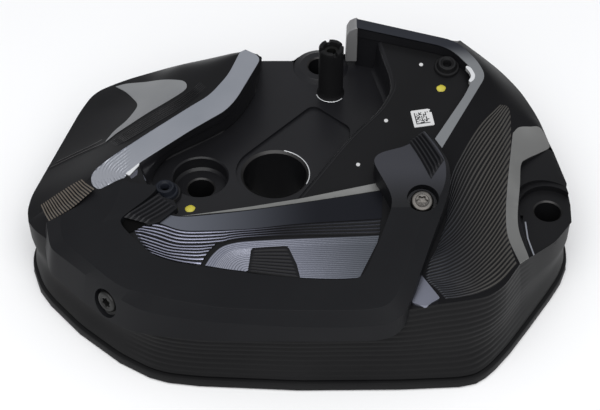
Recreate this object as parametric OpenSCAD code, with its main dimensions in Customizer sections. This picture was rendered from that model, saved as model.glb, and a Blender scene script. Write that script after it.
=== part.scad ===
// Milled cover for the end of one cylinder of a flat twin engine, with its impact guard.
// Millimetres. +Z points away from the cylinder head, Z = 0 is the gasket face.
// The origin is the axis of the spark plug tunnel on the gasket face.
// The shell is a hull through a few rings of points, cut by flat-bottomed recesses,
// so every bore, seat and fastener stays a true cylinder.

/* [Cover] */
// Thickness of the flange
flange_t = 4.3; // [3.5:0.1:6]
// How far the flange stands out past the wall
lip = 1.8; // [1:0.1:3]
// Wall thickness of the shell
wall = 3.5; // [2.5:0.1:4.5]
// Height of the coil recess floor
floor_z = 44; // [43:0.5:46]
// Height of the machined seats under the cover bolts
seat_z = 36; // [34:0.5:38]
// Radius of the three cover bolt holes
bolt_hole_r = 6.6; // [5:0.1:7.5]
// Radius of the spot faces round two of the bolt holes
spot_r = 14.3; // [12:0.1:15]
// Radius of the spark plug tunnel
tunnel_r = 15.9; // [14:0.1:16.5]
// Slope of the rim plane, degrees
rim_tilt = 10.8; // [10:0.1:12]

/* [Seals] */
// Width of the sealing bead round the flange
bead_w = 3.4; // [2.5:0.1:4]
// Height of both sealing beads
bead_h = 2.7; // [2.3:0.1:2.9]

/* [Fasteners] */
// Radius of the guard bolts' threads
bolt_r = 3; // [2.5:0.1:3.2]
// Radius of the guard bolts' heads
head_r = 5.5; // [5:0.1:6]
// Height of the guard bolts' heads
head_h = 3.4; // [3:0.1:4]
// Length of the guard bolts under the head
bolt_len = 18; // [16:0.5:19]
// Radius of the six-lobe key sockets
socket_r = 2.6; // [2:0.1:3]

/* [Coil cover fittings] */
// Radius of the stand-off post
post_r = 6.4; // [5.5:0.1:7]
// Height of the post's top
post_top = 75; // [70:0.5:78]
// Radius of the post's thread
post_hole_r = 2.5; // [2:0.1:3]
// Outer radius of the rubber grommets
grommet_r = 6.4; // [5.5:0.1:7]
// Radius of the hole through a grommet
grommet_hole_r = 2.2; // [1.8:0.1:2.5]

/* [Hidden] */
$fn = 64;

GAP = 0.1;                      // clearance between parts that are slipped together
GUARD_GAP = 0.4;                // clearance between the guard and the cover under it
CUT_TOP = 100;                  // height of everything that is cut away upwards
LEFT_HOLE = [-37, -3.5];
RIGHT_HOLE = [134.6, -19.5];
BACK_HOLE = [23.5, 79];
LEFT_BOSS_R = 11;
RIGHT_BOSS_R = 12.6;
BACK_BOSS_R = 14.5;
BACK_BOSS_TOP = 46;
BOSS_DROP = 0.5;                // how far the hidden boss tops stay under the recess floor
TUNNEL_WALL = 4.6;
FLANGE_W = 12;                  // width of the flange's flat underside
POST_AT = [28.5, 59];
POST_FOOT_R = 5;
POST_FOOT = 3;                  // how deep the post is pressed into the floor
POST_BOSS_R = 9;
POST_BOSS_H = 7;
POST_BORE = 16;                 // depth of the post's bore
POST_INSERT_DEPTH = 3;          // from the post's top to its thread insert
POST_INSERT_LEN = 12;
NOTCH_W = 2.2;                  // notches across the post's top
NOTCH_D = 2;
NOTCH_TURN = 20;
WING_Z = 50.9;                  // height of the wing plane above the origin
WING_REACH = 50;                // how far the wing's cutting plane runs past its outline
RIM_CENTRE = [12, 0];           // centre towards which shell points are moved in
LEFT_GROMMET_AT = [-53.5, -16];
LEFT_GROMMET_SEAT = 46;
RIGHT_GROMMET_AT = [88, 58];
GROMMET_H = 4.2;
GROMMET_COLLAR = 1.6;
GROMMET_STEP = 1.7;             // from the collar's edge to the body
GROMMET_SEAT_W = 1.5;           // how far the raised seat stands out past the grommet
GROMMET_PIN_PLAY = 1.4;         // how much wider the drilling is than the grommet's hole
GROMMET_DRILL = 3;              // depth of the drilling under a grommet
BEAD_INSET = 5.4;               // from the flange edge to the bead
BEAD_TO_HOLE = 4;               // from the right bolt hole to the bead
BEAD_PAD_R = 20;                // wide part of the flange round the right bolt hole
GROOVE_DEPTH = 2;
TUNNEL_BEAD_R = 17.2;
TUNNEL_BEAD_W = 1.8;
LEFT_PAINT_AT = [-41, -25.5];
RIGHT_PAINT_AT = [84.5, 44.8];
LEFT_PAINT_R = 2.4;
RIGHT_PAINT_R = 2.6;
PAINT_T = 0.5;
DOTS_AT = [[74.9, 59.7], [55.8, 24.6], [41.2, -1.8]];
DOT_R = 1;
LABEL_AT = [74.2, 26.2];
LABEL_TURN = 9.5;
LABEL_W = 10.4;
LABEL_T = 0.4;
INSERT_R = 4.2;
INSERT_LEN = 14;
INSERT_WALL = 3.4;              // metal left round and under a thread insert
BUSH_R = 5;
BUSH_LEN = 3;
BUSH_SEAT_R = 6;
BLIND = 2.5;                    // depth of the drilling past a thread insert
HEAD_ROOM = 2;                  // room round a guard bolt's head
SOCKET_DEPTH = 2.4;
ARM_BOLT_AT = [70.8, -32.6, 55.4];      // underside of the arm bolt's head
ARM_BOLT_TILT = 24;                     // its axis leans towards -Y
SIDE_BOLT_AT = [-76.7, -73.7, 32.5];    // underside of the side bolt's head
SIDE_BOLT_AZ = 230;                     // direction in which its head points
SIDE_BOLT_EL = 8;

// Edge of the flange, counter-clockwise from the left end of the front
FLANGE = [[-122, -27], [-117, -41], [-111, -50], [-95, -68], [-74, -86], [-59, -95], [-50, -98],
    [-35, -100], [12, -102.5], [60, -102], [88, -100.5], [96, -98.5], [101, -95], [106, -90],
    [114, -80], [125, -64], [137, -46], [143, -36], [147, -26], [148, -16], [146.5, 0], [143, 22],
    [138, 45], [130, 66], [116, 83], [97, 92], [60, 96], [20, 98], [-25, 96], [-62, 88], [-88, 74],
    [-104, 52], [-115, 18], [-121, -8], [-122.8, -18]];

// The same edge led round the inside of the right bolt hole, for the sealing bead
BEAD_EDGE = concat(
    [for (i = [0 : 16]) FLANGE[i]],
    [for (a = [-100, -140, 180, 140, 100])
        RIGHT_HOLE + (bolt_hole_r + BEAD_TO_HOLE - BEAD_INSET) * [cos(a), sin(a)]],
    [for (i = [21 : len(FLANGE) - 1]) FLANGE[i]]);

// Points where the walls turn into the top of the shell
SHOULDER = [[-119.5, -22, 34], [-104, -43, 35], [-78, -68, 37], [-57, -85, 41], [-35, -91, 44],
    [12, -92, 45], [60, -91, 46], [79, -89.5, 48.5], [90, -87.5, 48], [99.8, -85, 48],
    [107.3, -78.5, 48], [115.8, -63.5, 46], [124, -56, 42], [136, -41, 37], [145.5, -27, 36],
    [145.6, -3, 36], [141, 24, 38], [136, 42, 41], [128, 60, 44], [118, 73, 47], [107, 79, 53],
    [60, 91, 45], [20, 92, 42], [-25, 86, 46], [-50, 76, 46], [-80, 69, 41], [-96, 64, 37],
    [-102.5, 51, 36.5], [-114, 13, 37], [-119.5, -13, 36.5]];

// Points along the rim and the ridges of the top
CREST = [[-90.5, -11, 53], [-81, -3, 56], [-62, 12.5, 59], [-43, 28, 62], [-33, 35, 63.5],
    [-24, 48, 66], [-18, 62, 68.5], [-7, 61, 68.5], [42, 84, 72.8], [95, 70, 70.2],
    [103.5, 56, 67.5], [107, 47, 65.8], [94.5, 25, 61.6], [82.5, 3, 57.4], [52.7, -21.5, 52.8],
    [68.5, -71.5, 47.5], [12, -30, 51.2], [-45, -37, 49.8], [-85, -22, 52.7]];

// Inside edge of the rim; open at the back
RECESS = [[-45, -36.5], [-12, -31], [12.5, -26.5], [50.5, -17.5], [48.5, -5], [60, 3],
    [79.5, 8.5], [97, 37], [101.5, 49.5], [98, 57], [90, 65], [42, 78], [42, 130], [-7, 130],
    [-7, 59], [-19, 33], [-25, 25.5], [-42, 13], [-64.5, -3], [-66, -8], [-60, -22], [-52, -32]];

// Raised wing inside the recess
WING = [[12.5, -40], [130, -40], [130, 95], [52, 95], [54, 77], [60, 53], [60.5, 45], [54.5, 32.5],
    [37.5, 14.5], [12.5, -21]];

// Low seat round the plug tunnel
PLUG_SEAT = [[-14, 14], [-15, -30], [10, -26], [14, -20], [38, 14], [40, 29], [20, 48], [16, 48]];
PLUG_SEAT_DEPTH = 1.5;

// Level pads outside the rim at the right bolt hole
RIGHT_PAD = [[122.5, 3], [120.6, -12], [117.2, -38], [120.7, -58], [160, -60], [160, 20],
    [139, 20.5], [126, 8]];
RIGHT_PAD_Z = 42;
RIGHT_SEAT = [[122.8, -20], [122, -34], [125, -51], [125, -62], [160, -62], [160, -5], [134, -5]];

// Guard pieces, each the hull of its corners
PANEL_UPPER = [[-111.3, -31.6, 41], [-103, -33, 47], [-85, -24, 55], [-71, -19, 57.5],
    [-76.5, -40.6, 54], [-95, -58, 44], [-102, -46, 44], [-108, -46.5, 39], [-109.5, -49, 24],
    [-111, -42, 24], [-111.5, -33, 30], [-76, -38, 40], [-95, -60, 24]];
PANEL_LOWER = [[-102, -46, 44], [-76.5, -40.6, 54], [-58, -60.5, 50.5], [-53, -68, 50],
    [-51.5, -86.5, 49], [-71, -78.5, 47], [-108, -46.5, 39], [-81.3, -71.5, 40],
    [-68.5, -83, 41], [-59.5, -90, 42], [-109.5, -49, 24], [-83.5, -75.5, 24], [-72, -86, 26],
    [-60, -93, 30], [-58, -60.5, 40]];
FRONT_BAR = [[-58, -60.5, 50.5], [-46, -66, 50], [-32, -69, 50], [12, -77, 50.5], [39, -77.5, 51],
    [-51.5, -86.5, 49], [-19.3, -94, 49.5], [12, -95, 49.5], [56, -95, 50], [-59.5, -90, 42],
    [-19.4, -97, 43], [12, -99.5, 42.8], [52, -99.8, 43.5], [59, -97.5, 47.5], [-60, -93, 30],
    [-35, -98.5, 32], [12, -100.6, 34], [53, -100.6, 34.5], [59, -98.5, 43], [39, -77.5, 40],
    [-58, -60.5, 40]];
LOWER_ARM = [[39, -77.5, 51], [46, -64, 53], [57, -38, 59], [56, -95, 50], [59, -97.5, 47.5],
    [65, -86, 51], [70.6, -67.5, 53], [78.5, -48.5, 57], [59, -98.5, 43], [39, -77.5, 40],
    [57, -38, 44], [78.5, -48.5, 44], [65, -86, 42]];
ARM_BLOCK = [[57, -38, 59], [53, -27, 62], [47.5, -14, 66], [50.5, -9.5, 67], [63, -6, 67],
    [74, 9, 64], [83.3, -1.6, 64], [84.6, -23, 61.5], [78.5, -48.5, 57], [57, -38, 48],
    [47.5, -14, 50], [63, -3, 52], [74, 9, 55], [83.3, -1.6, 54], [84.6, -23, 48],
    [78.5, -48.5, 46]];
FINGER = [[-71, -19, 57.5], [-79, -28, 54.8], [-76.5, -40.6, 54], [-60, -22.5, 53], [-52, -29, 51],
    [-48, -33, 49], [-66, -40, 49.5], [-71, -19, 47.3], [-60, -22.5, 46.5], [-52, -29, 46.5],
    [-48, -33, 46.5], [-66, -40, 46.5]];

function unit(v) = v / norm(v);
function inward(d) = [-d.y, d.x];

// A closed outline moved in by d, or out where d is negative
function inset(pts, d) = let (n = len(pts)) [for (i = [0 : n - 1])
    let (before = inward(unit(pts[i] - pts[(i + n - 1) % n])),
         after = inward(unit(pts[(i + 1) % n] - pts[i])))
    pts[i] + d * (before + after) / (1 + before * after)];

// A point of the shell moved in and down by d
function sink(p, d) = let (u = unit([p.x, p.y] - RIM_CENTRE)) [p.x - d * u.x, p.y - d * u.y, p.z - d];

// A plan point on the plane z = height + y * tan(rim_tilt), in that plane's own axes
function on_tilt(p, height) =
    [p.x, p.y * cos(rim_tilt) + (height + p.y * tan(rim_tilt)) * sin(rim_tilt)];

function wing_height(p) = WING_Z + p.y * tan(rim_tilt);

// Convex hull of loose points
module hull_of(pts) {
    hull() polyhedron(points = pts, faces = [for (i = [0 : len(pts) - 3]) [i, i + 1, i + 2]]);
}

// Block above an outline, from a level floor
module level_block(outline, z) {
    translate([0, 0, z]) linear_extrude(CUT_TOP) polygon(outline);
}

// Block above an outline, from a floor in the plane of the rim
module tilted_block(outline, height) {
    rotate([rim_tilt, 0, 0]) translate([0, 0, height * cos(rim_tilt)])
        linear_extrude(CUT_TOP) polygon([for (p = outline) on_tilt(p, height)]);
}

// Outside of the shell without its recesses, grown by g
module shell_form(g) {
    ring = inset(FLANGE, lip - g);
    hull_of(concat(
        [for (p = ring) [p.x, p.y, 0]],
        [for (p = ring) [p.x, p.y, flange_t]],
        [for (p = SHOULDER) sink(p, -g)],
        [for (p = CREST) sink(p, -g)]));
}

// Space inside the shell without the backs of the recesses
module shell_inside() {
    foot = inset(FLANGE, lip + wall + 1);
    hull_of(concat(
        [for (p = foot) [p.x, p.y, flange_t + 1]],
        [for (p = SHOULDER) sink(p, wall)],
        [for (p = CREST) sink(p, wall)]));
    translate([0, 0, -1]) linear_extrude(flange_t + 3) polygon(inset(FLANGE, FLANGE_W));
}

// The two floors of the coil recess; grown by d they make the metal behind it
module coil_recess(d) {
    difference() {
        level_block(inset(RECESS, -d), floor_z - d);
        difference() {
            level_block(inset(WING, d), 0);
            tilted_block(inset(WING, -WING_REACH), WING_Z - d);
        }
    }
    if (d == 0) level_block(PLUG_SEAT, floor_z - PLUG_SEAT_DEPTH);
}

module at_arm_bolt() {
    translate(ARM_BOLT_AT) rotate([ARM_BOLT_TILT, 0, 0]) children();
}

module at_side_bolt() {
    translate(SIDE_BOLT_AT) rotate([0, 90 - SIDE_BOLT_EL, SIDE_BOLT_AZ]) children();
}

// Blind boss for a guard bolt, under its bush
module insert_boss() {
    depth = BUSH_LEN + INSERT_LEN + BLIND + INSERT_WALL;
    translate([0, 0, -depth]) cylinder(r = INSERT_R + INSERT_WALL, h = depth);
}

// Seat for a bush and hole for its thread insert
module insert_hole() {
    translate([0, 0, -BUSH_LEN - INSERT_LEN - BLIND]) cylinder(r = INSERT_R, h = CUT_TOP);
    translate([0, 0, -BUSH_LEN]) cylinder(r = BUSH_SEAT_R, h = CUT_TOP);
}

// Ring of rubber or metal standing on z = 0
module ring(outer, inner, h) {
    difference() {
        cylinder(r = outer, h = h);
        translate([0, 0, -1]) cylinder(r = inner, h = h + 2);
    }
}

// Bosses that carry the bolt seats, the plug tunnel and the post
module bosses() {
    cylinder(r = tunnel_r + TUNNEL_WALL, h = floor_z - BOSS_DROP);
    translate(LEFT_HOLE) cylinder(r = LEFT_BOSS_R, h = seat_z);
    translate([LEFT_HOLE.x, LEFT_HOLE.y, seat_z - wall])
        cylinder(r = spot_r + wall, h = floor_z - seat_z + wall - BOSS_DROP);
    translate(RIGHT_HOLE) cylinder(r = RIGHT_BOSS_R, h = seat_z);
    translate(BACK_HOLE) cylinder(r = BACK_BOSS_R, h = BACK_BOSS_TOP);
    translate([POST_AT.x, POST_AT.y, floor_z - BOSS_DROP - POST_BOSS_H])
        cylinder(r = POST_BOSS_R, h = POST_BOSS_H);
}

module bores() {
    translate([0, 0, -1]) cylinder(r = tunnel_r, h = CUT_TOP);
    for (p = [LEFT_HOLE, RIGHT_HOLE, BACK_HOLE])
        translate([p.x, p.y, -1]) cylinder(r = bolt_hole_r, h = CUT_TOP);
    for (p = [LEFT_HOLE, RIGHT_HOLE])
        translate([p.x, p.y, seat_z]) cylinder(r = spot_r, h = CUT_TOP);
    translate([POST_AT.x, POST_AT.y, floor_z - POST_FOOT]) cylinder(r = POST_FOOT_R, h = POST_FOOT + 1);
    at_arm_bolt() insert_hole();
    at_side_bolt() insert_hole();
    at_left_grommet() grommet_drilling();
    at_right_grommet() grommet_drilling();
}

// Grooves in the flange for the two sealing beads
module bead_grooves() {
    difference() {
        translate([0, 0, -1]) linear_extrude(GROOVE_DEPTH + 1) polygon(inset(BEAD_EDGE, BEAD_INSET));
        translate([0, 0, -2]) linear_extrude(GROOVE_DEPTH + 3)
            polygon(inset(BEAD_EDGE, BEAD_INSET + bead_w));
    }
    translate([0, 0, -1]) ring(TUNNEL_BEAD_R + TUNNEL_BEAD_W, TUNNEL_BEAD_R, GROOVE_DEPTH + 1);
}

// Level pads at the right bolt hole; grown by d they make the metal behind them
module right_pads(d) {
    level_block(inset(RIGHT_PAD, -d), RIGHT_PAD_Z - d);
    level_block(inset(RIGHT_SEAT, -d), seat_z - d);
    if (d > 0) translate([RIGHT_HOLE.x, RIGHT_HOLE.y, seat_z - d]) cylinder(r = spot_r + d, h = CUT_TOP);
}

// Rim of the flange, wider round the right bolt hole
module flange() {
    difference() {
        linear_extrude(flange_t) polygon(FLANGE);
        translate([0, 0, -1]) linear_extrude(flange_t + 2) polygon(inset(FLANGE, FLANGE_W));
    }
    intersection() {
        linear_extrude(flange_t) polygon(FLANGE);
        translate(RIGHT_HOLE) cylinder(r = BEAD_PAD_R, h = flange_t);
    }
}

module head_cover() {
    color([0.09, 0.09, 0.1]) difference() {
        union() {
            difference() {
                shell_form(0);
                coil_recess(0);
                difference() {
                    shell_inside();
                    coil_recess(wall);
                    right_pads(wall);
                }
                right_pads(0);
            }
            flange();
            bosses();
            intersection() {
                shell_form(0);
                union() {
                    at_arm_bolt() insert_boss();
                    at_side_bolt() insert_boss();
                }
            }
            translate([LEFT_GROMMET_AT.x, LEFT_GROMMET_AT.y, floor_z - 1])
                cylinder(r = grommet_r + GROMMET_SEAT_W, h = LEFT_GROMMET_SEAT - floor_z + 1);
        }
        bores();
        bead_grooves();
    }
}

module perimeter_gasket() {
    color([0.08, 0.1, 0.09]) translate([0, 0, GROOVE_DEPTH - GAP - bead_h]) difference() {
        linear_extrude(bead_h) polygon(inset(BEAD_EDGE, BEAD_INSET + GAP));
        translate([0, 0, -1]) linear_extrude(bead_h + 2)
            polygon(inset(BEAD_EDGE, BEAD_INSET + bead_w - GAP));
    }
}

module plug_tunnel_gasket() {
    color([0.08, 0.1, 0.09]) translate([0, 0, GROOVE_DEPTH - GAP - bead_h])
        ring(TUNNEL_BEAD_R + TUNNEL_BEAD_W - GAP, TUNNEL_BEAD_R + GAP, bead_h);
}

// Hole and head recess for one guard bolt
module guard_bolt_hole() {
    translate([0, 0, -BUSH_LEN - 4]) cylinder(r = BUSH_R + GAP, h = CUT_TOP);
    cylinder(r = head_r + HEAD_ROOM, h = CUT_TOP);
}

module impact_guard() {
    color([0.07, 0.07, 0.07]) difference() {
        for (corners = [PANEL_UPPER, PANEL_LOWER, FRONT_BAR, LOWER_ARM, ARM_BLOCK, FINGER])
            hull_of(corners);
        shell_form(GUARD_GAP);
        at_arm_bolt() guard_bolt_hole();
        at_side_bolt() guard_bolt_hole();
    }
}

module guard_bolt() {
    color([0.75, 0.75, 0.73]) difference() {
        union() {
            cylinder(r = head_r, h = head_h);
            translate([0, 0, -bolt_len]) cylinder(r = bolt_r, h = bolt_len + 1);
        }
        translate([0, 0, head_h - SOCKET_DEPTH]) cylinder(r = socket_r, h = SOCKET_DEPTH + 1);
    }
}

module guard_bush() {
    color([0.6, 0.6, 0.6]) translate([0, 0, -BUSH_LEN]) ring(BUSH_R, bolt_r + GAP, BUSH_LEN);
}

module thread_insert(inner, h) {
    color([0.7, 0.7, 0.68]) ring(INSERT_R - GAP / 2, inner, h);
}

module guard_insert() {
    translate([0, 0, -BUSH_LEN - INSERT_LEN]) thread_insert(bolt_r + GAP, INSERT_LEN - GAP);
}

module arm_bolt() { at_arm_bolt() guard_bolt(); }

module side_bolt() { at_side_bolt() guard_bolt(); }

module arm_bolt_bush() { at_arm_bolt() guard_bush(); }

module side_bolt_bush() { at_side_bolt() guard_bush(); }

module arm_thread_insert() { at_arm_bolt() guard_insert(); }

module side_thread_insert() { at_side_bolt() guard_insert(); }

module coil_cover_post() {
    color([0.1, 0.1, 0.1]) translate([POST_AT.x, POST_AT.y, 0]) difference() {
        union() {
            translate([0, 0, floor_z]) cylinder(r = post_r, h = post_top - floor_z);
            translate([0, 0, floor_z - POST_FOOT + GAP]) cylinder(r = POST_FOOT_R - GAP, h = POST_FOOT);
        }
        translate([0, 0, post_top - POST_BORE]) cylinder(r = INSERT_R, h = POST_BORE + 1);
        for (a = [NOTCH_TURN, NOTCH_TURN + 90]) rotate(a)
            translate([-post_r - 1, -NOTCH_W / 2, post_top - NOTCH_D])
                cube([2 * post_r + 2, NOTCH_W, NOTCH_D + 1]);
    }
}

module post_thread_insert() {
    translate([POST_AT.x, POST_AT.y, post_top - POST_INSERT_DEPTH - POST_INSERT_LEN])
        thread_insert(post_hole_r, POST_INSERT_LEN);
}

module at_left_grommet() {
    translate([LEFT_GROMMET_AT.x, LEFT_GROMMET_AT.y, LEFT_GROMMET_SEAT]) children();
}

module at_right_grommet() {
    on_wing(RIGHT_GROMMET_AT) children();
}

// Drilling in the cover for the pin that goes through a grommet
module grommet_drilling() {
    translate([0, 0, -GROMMET_DRILL])
        cylinder(r = grommet_hole_r + GROMMET_PIN_PLAY, h = GROMMET_DRILL + 1);
}

// Flanged rubber grommet standing on its seat
module grommet() {
    color([0.2, 0.22, 0.26]) difference() {
        union() {
            cylinder(r = grommet_r, h = GROMMET_COLLAR);
            cylinder(r = grommet_r - GROMMET_STEP, h = GROMMET_H);
        }
        translate([0, 0, -1]) cylinder(r = grommet_hole_r, h = GROMMET_H + 2);
    }
}

module left_grommet() { at_left_grommet() grommet(); }

module right_grommet() { at_right_grommet() grommet(); }

// Puts a thin piece flat on the wing at a plan point
module on_wing(p) {
    translate([p.x, p.y, wing_height(p)]) rotate([rim_tilt, 0, 0]) children();
}

module data_label() {
    color([0.9, 0.9, 0.9]) on_wing(LABEL_AT) rotate(LABEL_TURN)
        translate([-LABEL_W / 2, -LABEL_W / 2, 0]) cube([LABEL_W, LABEL_W, LABEL_T]);
}

module left_paint_mark() {
    color([0.85, 0.8, 0.25]) translate([LEFT_PAINT_AT.x, LEFT_PAINT_AT.y, floor_z])
        cylinder(r = LEFT_PAINT_R, h = PAINT_T);
}

module right_paint_mark() {
    color([0.85, 0.8, 0.25]) on_wing(RIGHT_PAINT_AT) cylinder(r = RIGHT_PAINT_R, h = PAINT_T);
}

module check_dots() {
    color([0.9, 0.9, 0.9]) for (p = DOTS_AT) on_wing(p) cylinder(r = DOT_R, h = LABEL_T);
}

head_cover();
perimeter_gasket();
plug_tunnel_gasket();
impact_guard();
arm_bolt();
side_bolt();
arm_bolt_bush();
side_bolt_bush();
arm_thread_insert();
side_thread_insert();
coil_cover_post();
post_thread_insert();
left_grommet();
right_grommet();
data_label();
left_paint_mark();
right_paint_mark();
check_dots();
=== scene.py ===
"""Looks of the milled cylinder head cover and its impact guard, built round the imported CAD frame."""
import math
import random

import bpy
import bmesh
import numpy as np
from mathutils import Matrix, Vector
from mathutils.bvhtree import BVHTree
from mathutils.geometry import delaunay_2d_cdt


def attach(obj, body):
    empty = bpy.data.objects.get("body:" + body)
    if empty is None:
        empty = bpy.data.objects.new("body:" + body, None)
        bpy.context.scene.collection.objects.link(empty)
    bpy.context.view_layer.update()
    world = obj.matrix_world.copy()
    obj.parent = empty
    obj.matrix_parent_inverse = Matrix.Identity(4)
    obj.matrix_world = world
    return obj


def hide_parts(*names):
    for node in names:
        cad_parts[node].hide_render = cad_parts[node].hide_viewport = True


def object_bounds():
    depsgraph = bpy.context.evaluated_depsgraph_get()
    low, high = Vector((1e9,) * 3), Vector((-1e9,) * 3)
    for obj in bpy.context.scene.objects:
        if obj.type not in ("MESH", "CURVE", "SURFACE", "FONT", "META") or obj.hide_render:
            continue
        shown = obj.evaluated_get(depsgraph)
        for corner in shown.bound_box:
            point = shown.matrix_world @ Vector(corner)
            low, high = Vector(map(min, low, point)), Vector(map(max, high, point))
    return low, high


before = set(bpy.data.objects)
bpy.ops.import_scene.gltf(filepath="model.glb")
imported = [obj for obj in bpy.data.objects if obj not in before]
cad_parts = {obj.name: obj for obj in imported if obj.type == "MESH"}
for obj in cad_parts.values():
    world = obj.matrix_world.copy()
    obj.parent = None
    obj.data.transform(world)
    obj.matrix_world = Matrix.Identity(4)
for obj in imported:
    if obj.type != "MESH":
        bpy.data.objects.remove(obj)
CAD_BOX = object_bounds()
MM = 0.001                      # the numbers below are millimetres in the CAD's own axes
RIM_TILT = math.radians(10.8)
RIM_Z = 56.85
WING_Z = 50.9
FLOOR_Z = 44.0
PLUG_Z = 42.5
SEAT_Z = 36.0
BOSS_Z = 45.0
FLANGE_T = 4.3                  # thickness of the flange
LIP = 1.8                       # how far the flange stands out past the wall
LEFT_HOLE = (-37.0, -3.5)
RIGHT_HOLE = (134.6, -19.5)
BACK_HOLE = (23.5, 79.0)
BOLT_HOLE_R = 6.6
HOLE_SIDES = 72
BOLT_EDGE = 0.7                 # chamfers of the holes
TUNNEL_EDGE = 1.2
SPOT_R = 14.3
TUNNEL_R = 15.9
ARM_BOLT_AT = (70.8, -32.6, 55.4)
ARM_BOLT_TILT = 24.0
SIDE_BOLT_AT = (-76.7, -73.7, 32.5)
SIDE_BOLT_AZ = 230.0
SIDE_BOLT_EL = 8.0
POST_AT = (28.5, 59)
LEFT_GROMMET_AT = (-53.5, -16)
WALL_CENTRE = (12.0, 0.0)       # the outer wall's points lie on rays from here
SHARP_ANGLE = 38.0              # degrees; sharper edges stay hard in the shading
RAY_START = 0.02                # rays start this far off their face
INNER_GAP = 2.2                 # how far the copied inner skin stays behind the outer one
JOIN_GAP = 0.05                 # points nearer than this are one point
GRAIN_STRENGTH = 0.6
RIB_FLANK = 0.25                # width of a rib's flank, as a share of one repeat
NET_ROW = 0.87                  # row distance of a triangle net, for a point distance of 1
NET_GAP = 0.45                  # its least distance from an outline
random.seed(7)


# ---------------------------------------------------------------- points and heights

def polyline(points, step=2.0):
    """Straight stretches through points, cut into short pieces."""
    p = np.array(points, float)
    out = [p[0]]
    for a, b in zip(p, p[1:]):
        n = max(1, math.ceil(np.linalg.norm(b - a) / step))
        out += [a + (b - a) * i / n for i in range(1, n + 1)]
    return np.array(out)


def curve(points, step=2.0, pieces=None):
    """Smooth line through points (Catmull-Rom), cut by length or into equal counts between points."""
    p = np.array(points, float)
    p = np.vstack([2 * p[0] - p[1], p, 2 * p[-1] - p[-2]])
    out = [p[1][None]]
    for a, b, c, d in zip(p, p[1:], p[2:], p[3:]):
        n = pieces or max(1, math.ceil(np.linalg.norm(c - b) / step))
        t = np.arange(1, n + 1)[:, None] / n
        out.append(0.5 * (2 * b + (c - a) * t + (2 * a - 5 * b + 4 * c - d) * t * t
                          + (3 * b - a - 3 * c + d) * t ** 3))
    return np.vstack(out)


def rounded(points, radius=5.0, step=1.5, closed=False):
    """Straight stretches through points with their corners rounded off."""
    p = np.array(points, float)
    n, out = len(p), []
    for i in range(n):
        if not closed and i in (0, n - 1):
            out.append(p[i])
            continue
        a, b, c = p[i - 1], p[i], p[(i + 1) % n]
        before, after = np.linalg.norm(b - a), np.linalg.norm(c - b)
        r = min(radius, 0.45 * before, 0.45 * after)
        start, end = b + (a - b) * r / before, b + (c - b) * r / after
        for t in np.linspace(0, 1, 8):
            out.append((1 - t) ** 2 * start + 2 * t * (1 - t) * b + t * t * end)
    if closed:
        out.append(out[0])
    return polyline(out, step)


def split_at(line, point):
    """A line cut in two at its vertex nearest to a point."""
    near = np.argmin(np.linalg.norm(line[:, :2] - np.array(point[:2]), axis=1))
    return line[:near + 1], line[near:]


def spread(line, n, even=True):
    """n points along a line, at even distances or at even steps of its own points."""
    line = np.array(line, float)
    length = np.linalg.norm(np.diff(line, axis=0), axis=1)
    s = np.concatenate([[0], np.cumsum(length if even else np.ones(len(length)))])
    at = np.linspace(0, s[-1], n)
    return np.stack([np.interp(at, s, line[:, k]) for k in range(line.shape[1])], 1)


def arc(centre, r, start, end, n=24):
    """Points on a level circle, from one angle in degrees to another."""
    angles = np.radians(np.linspace(start, end, n))
    return np.stack([centre[0] + r * np.cos(angles), centre[1] + r * np.sin(angles)], 1)


def circle(centre, r, n=HOLE_SIDES):
    return arc(centre, r, 0, 360, n + 1)[:-1]


def at_height(line, z):
    """A line in plan put at one height, or at the heights that a function gives."""
    line = np.array(line, float)[:, :2]
    heights = z(line) if callable(z) else np.full(len(line), float(z))
    return np.column_stack([line, heights])


def joined(*lines):
    """Lines joined end to start, with shared points taken once."""
    out = []
    for line in lines:
        for p in line:
            if not out or np.linalg.norm(np.array(p) - out[-1]) > JOIN_GAP:
                out.append(np.array(p, float))
    return np.array(out)


def chain(*lines):
    """Lines joined end to start into one closed outline."""
    out = joined(*lines)
    return out[:-1] if np.linalg.norm(out[0] - out[-1]) < JOIN_GAP else out


def loop(points, radius, step, height):
    """A closed outline with rounded corners, over plan points put at a height."""
    return rounded(at_height(points, height), radius, step, closed=True)[:-1]


def prism_faces(n):
    """Faces of a block whose n upper points are followed by its n lower ones."""
    sides = [(i, i + n, (i + 1) % n + n, (i + 1) % n) for i in range(n)]
    return [tuple(range(n)), tuple(range(2 * n - 1, n - 1, -1))] + sides


def height_through(points):
    """Smooth height over the plan through given points (thin plate)."""
    p = np.array(points, float)
    xy, n = p[:, :2], len(p)

    def kernel(a):
        r2 = ((a[:, None] - xy[None]) ** 2).sum(-1)
        return r2 * np.log(r2 + 1e-9)

    system = np.zeros((n + 3, n + 3))
    system[:n, :n] = kernel(xy) + 1e-3 * np.eye(n)
    system[:n, n] = system[n, :n] = 1
    system[:n, n + 1:] = xy
    system[n:, :n] = np.column_stack([np.ones(n), xy]).T
    w = np.linalg.solve(system, np.append(p[:, 2], [0, 0, 0]))

    def height(q):
        plan = np.asarray(q, float)[:, :2]
        return kernel(plan) @ w[:n] + w[n] + plan @ w[n + 1:]
    return height


def tilted(z):
    """Height of a plane that rises towards the back like the rim, z high at the plug hole."""
    return lambda q: z + math.tan(RIM_TILT) * np.asarray(q, float)[:, 1]


def level(z):
    return lambda q: np.full(len(q), z)


rim_height, wing_height = tilted(RIM_Z), tilted(WING_Z)


# ---------------------------------------------------------------- materials

def node_tree(name):
    material = bpy.data.materials.new(name)
    material.use_nodes = True
    nodes, links = material.node_tree.nodes, material.node_tree.links
    return material, nodes, links, nodes["Principled BSDF"]


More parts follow.
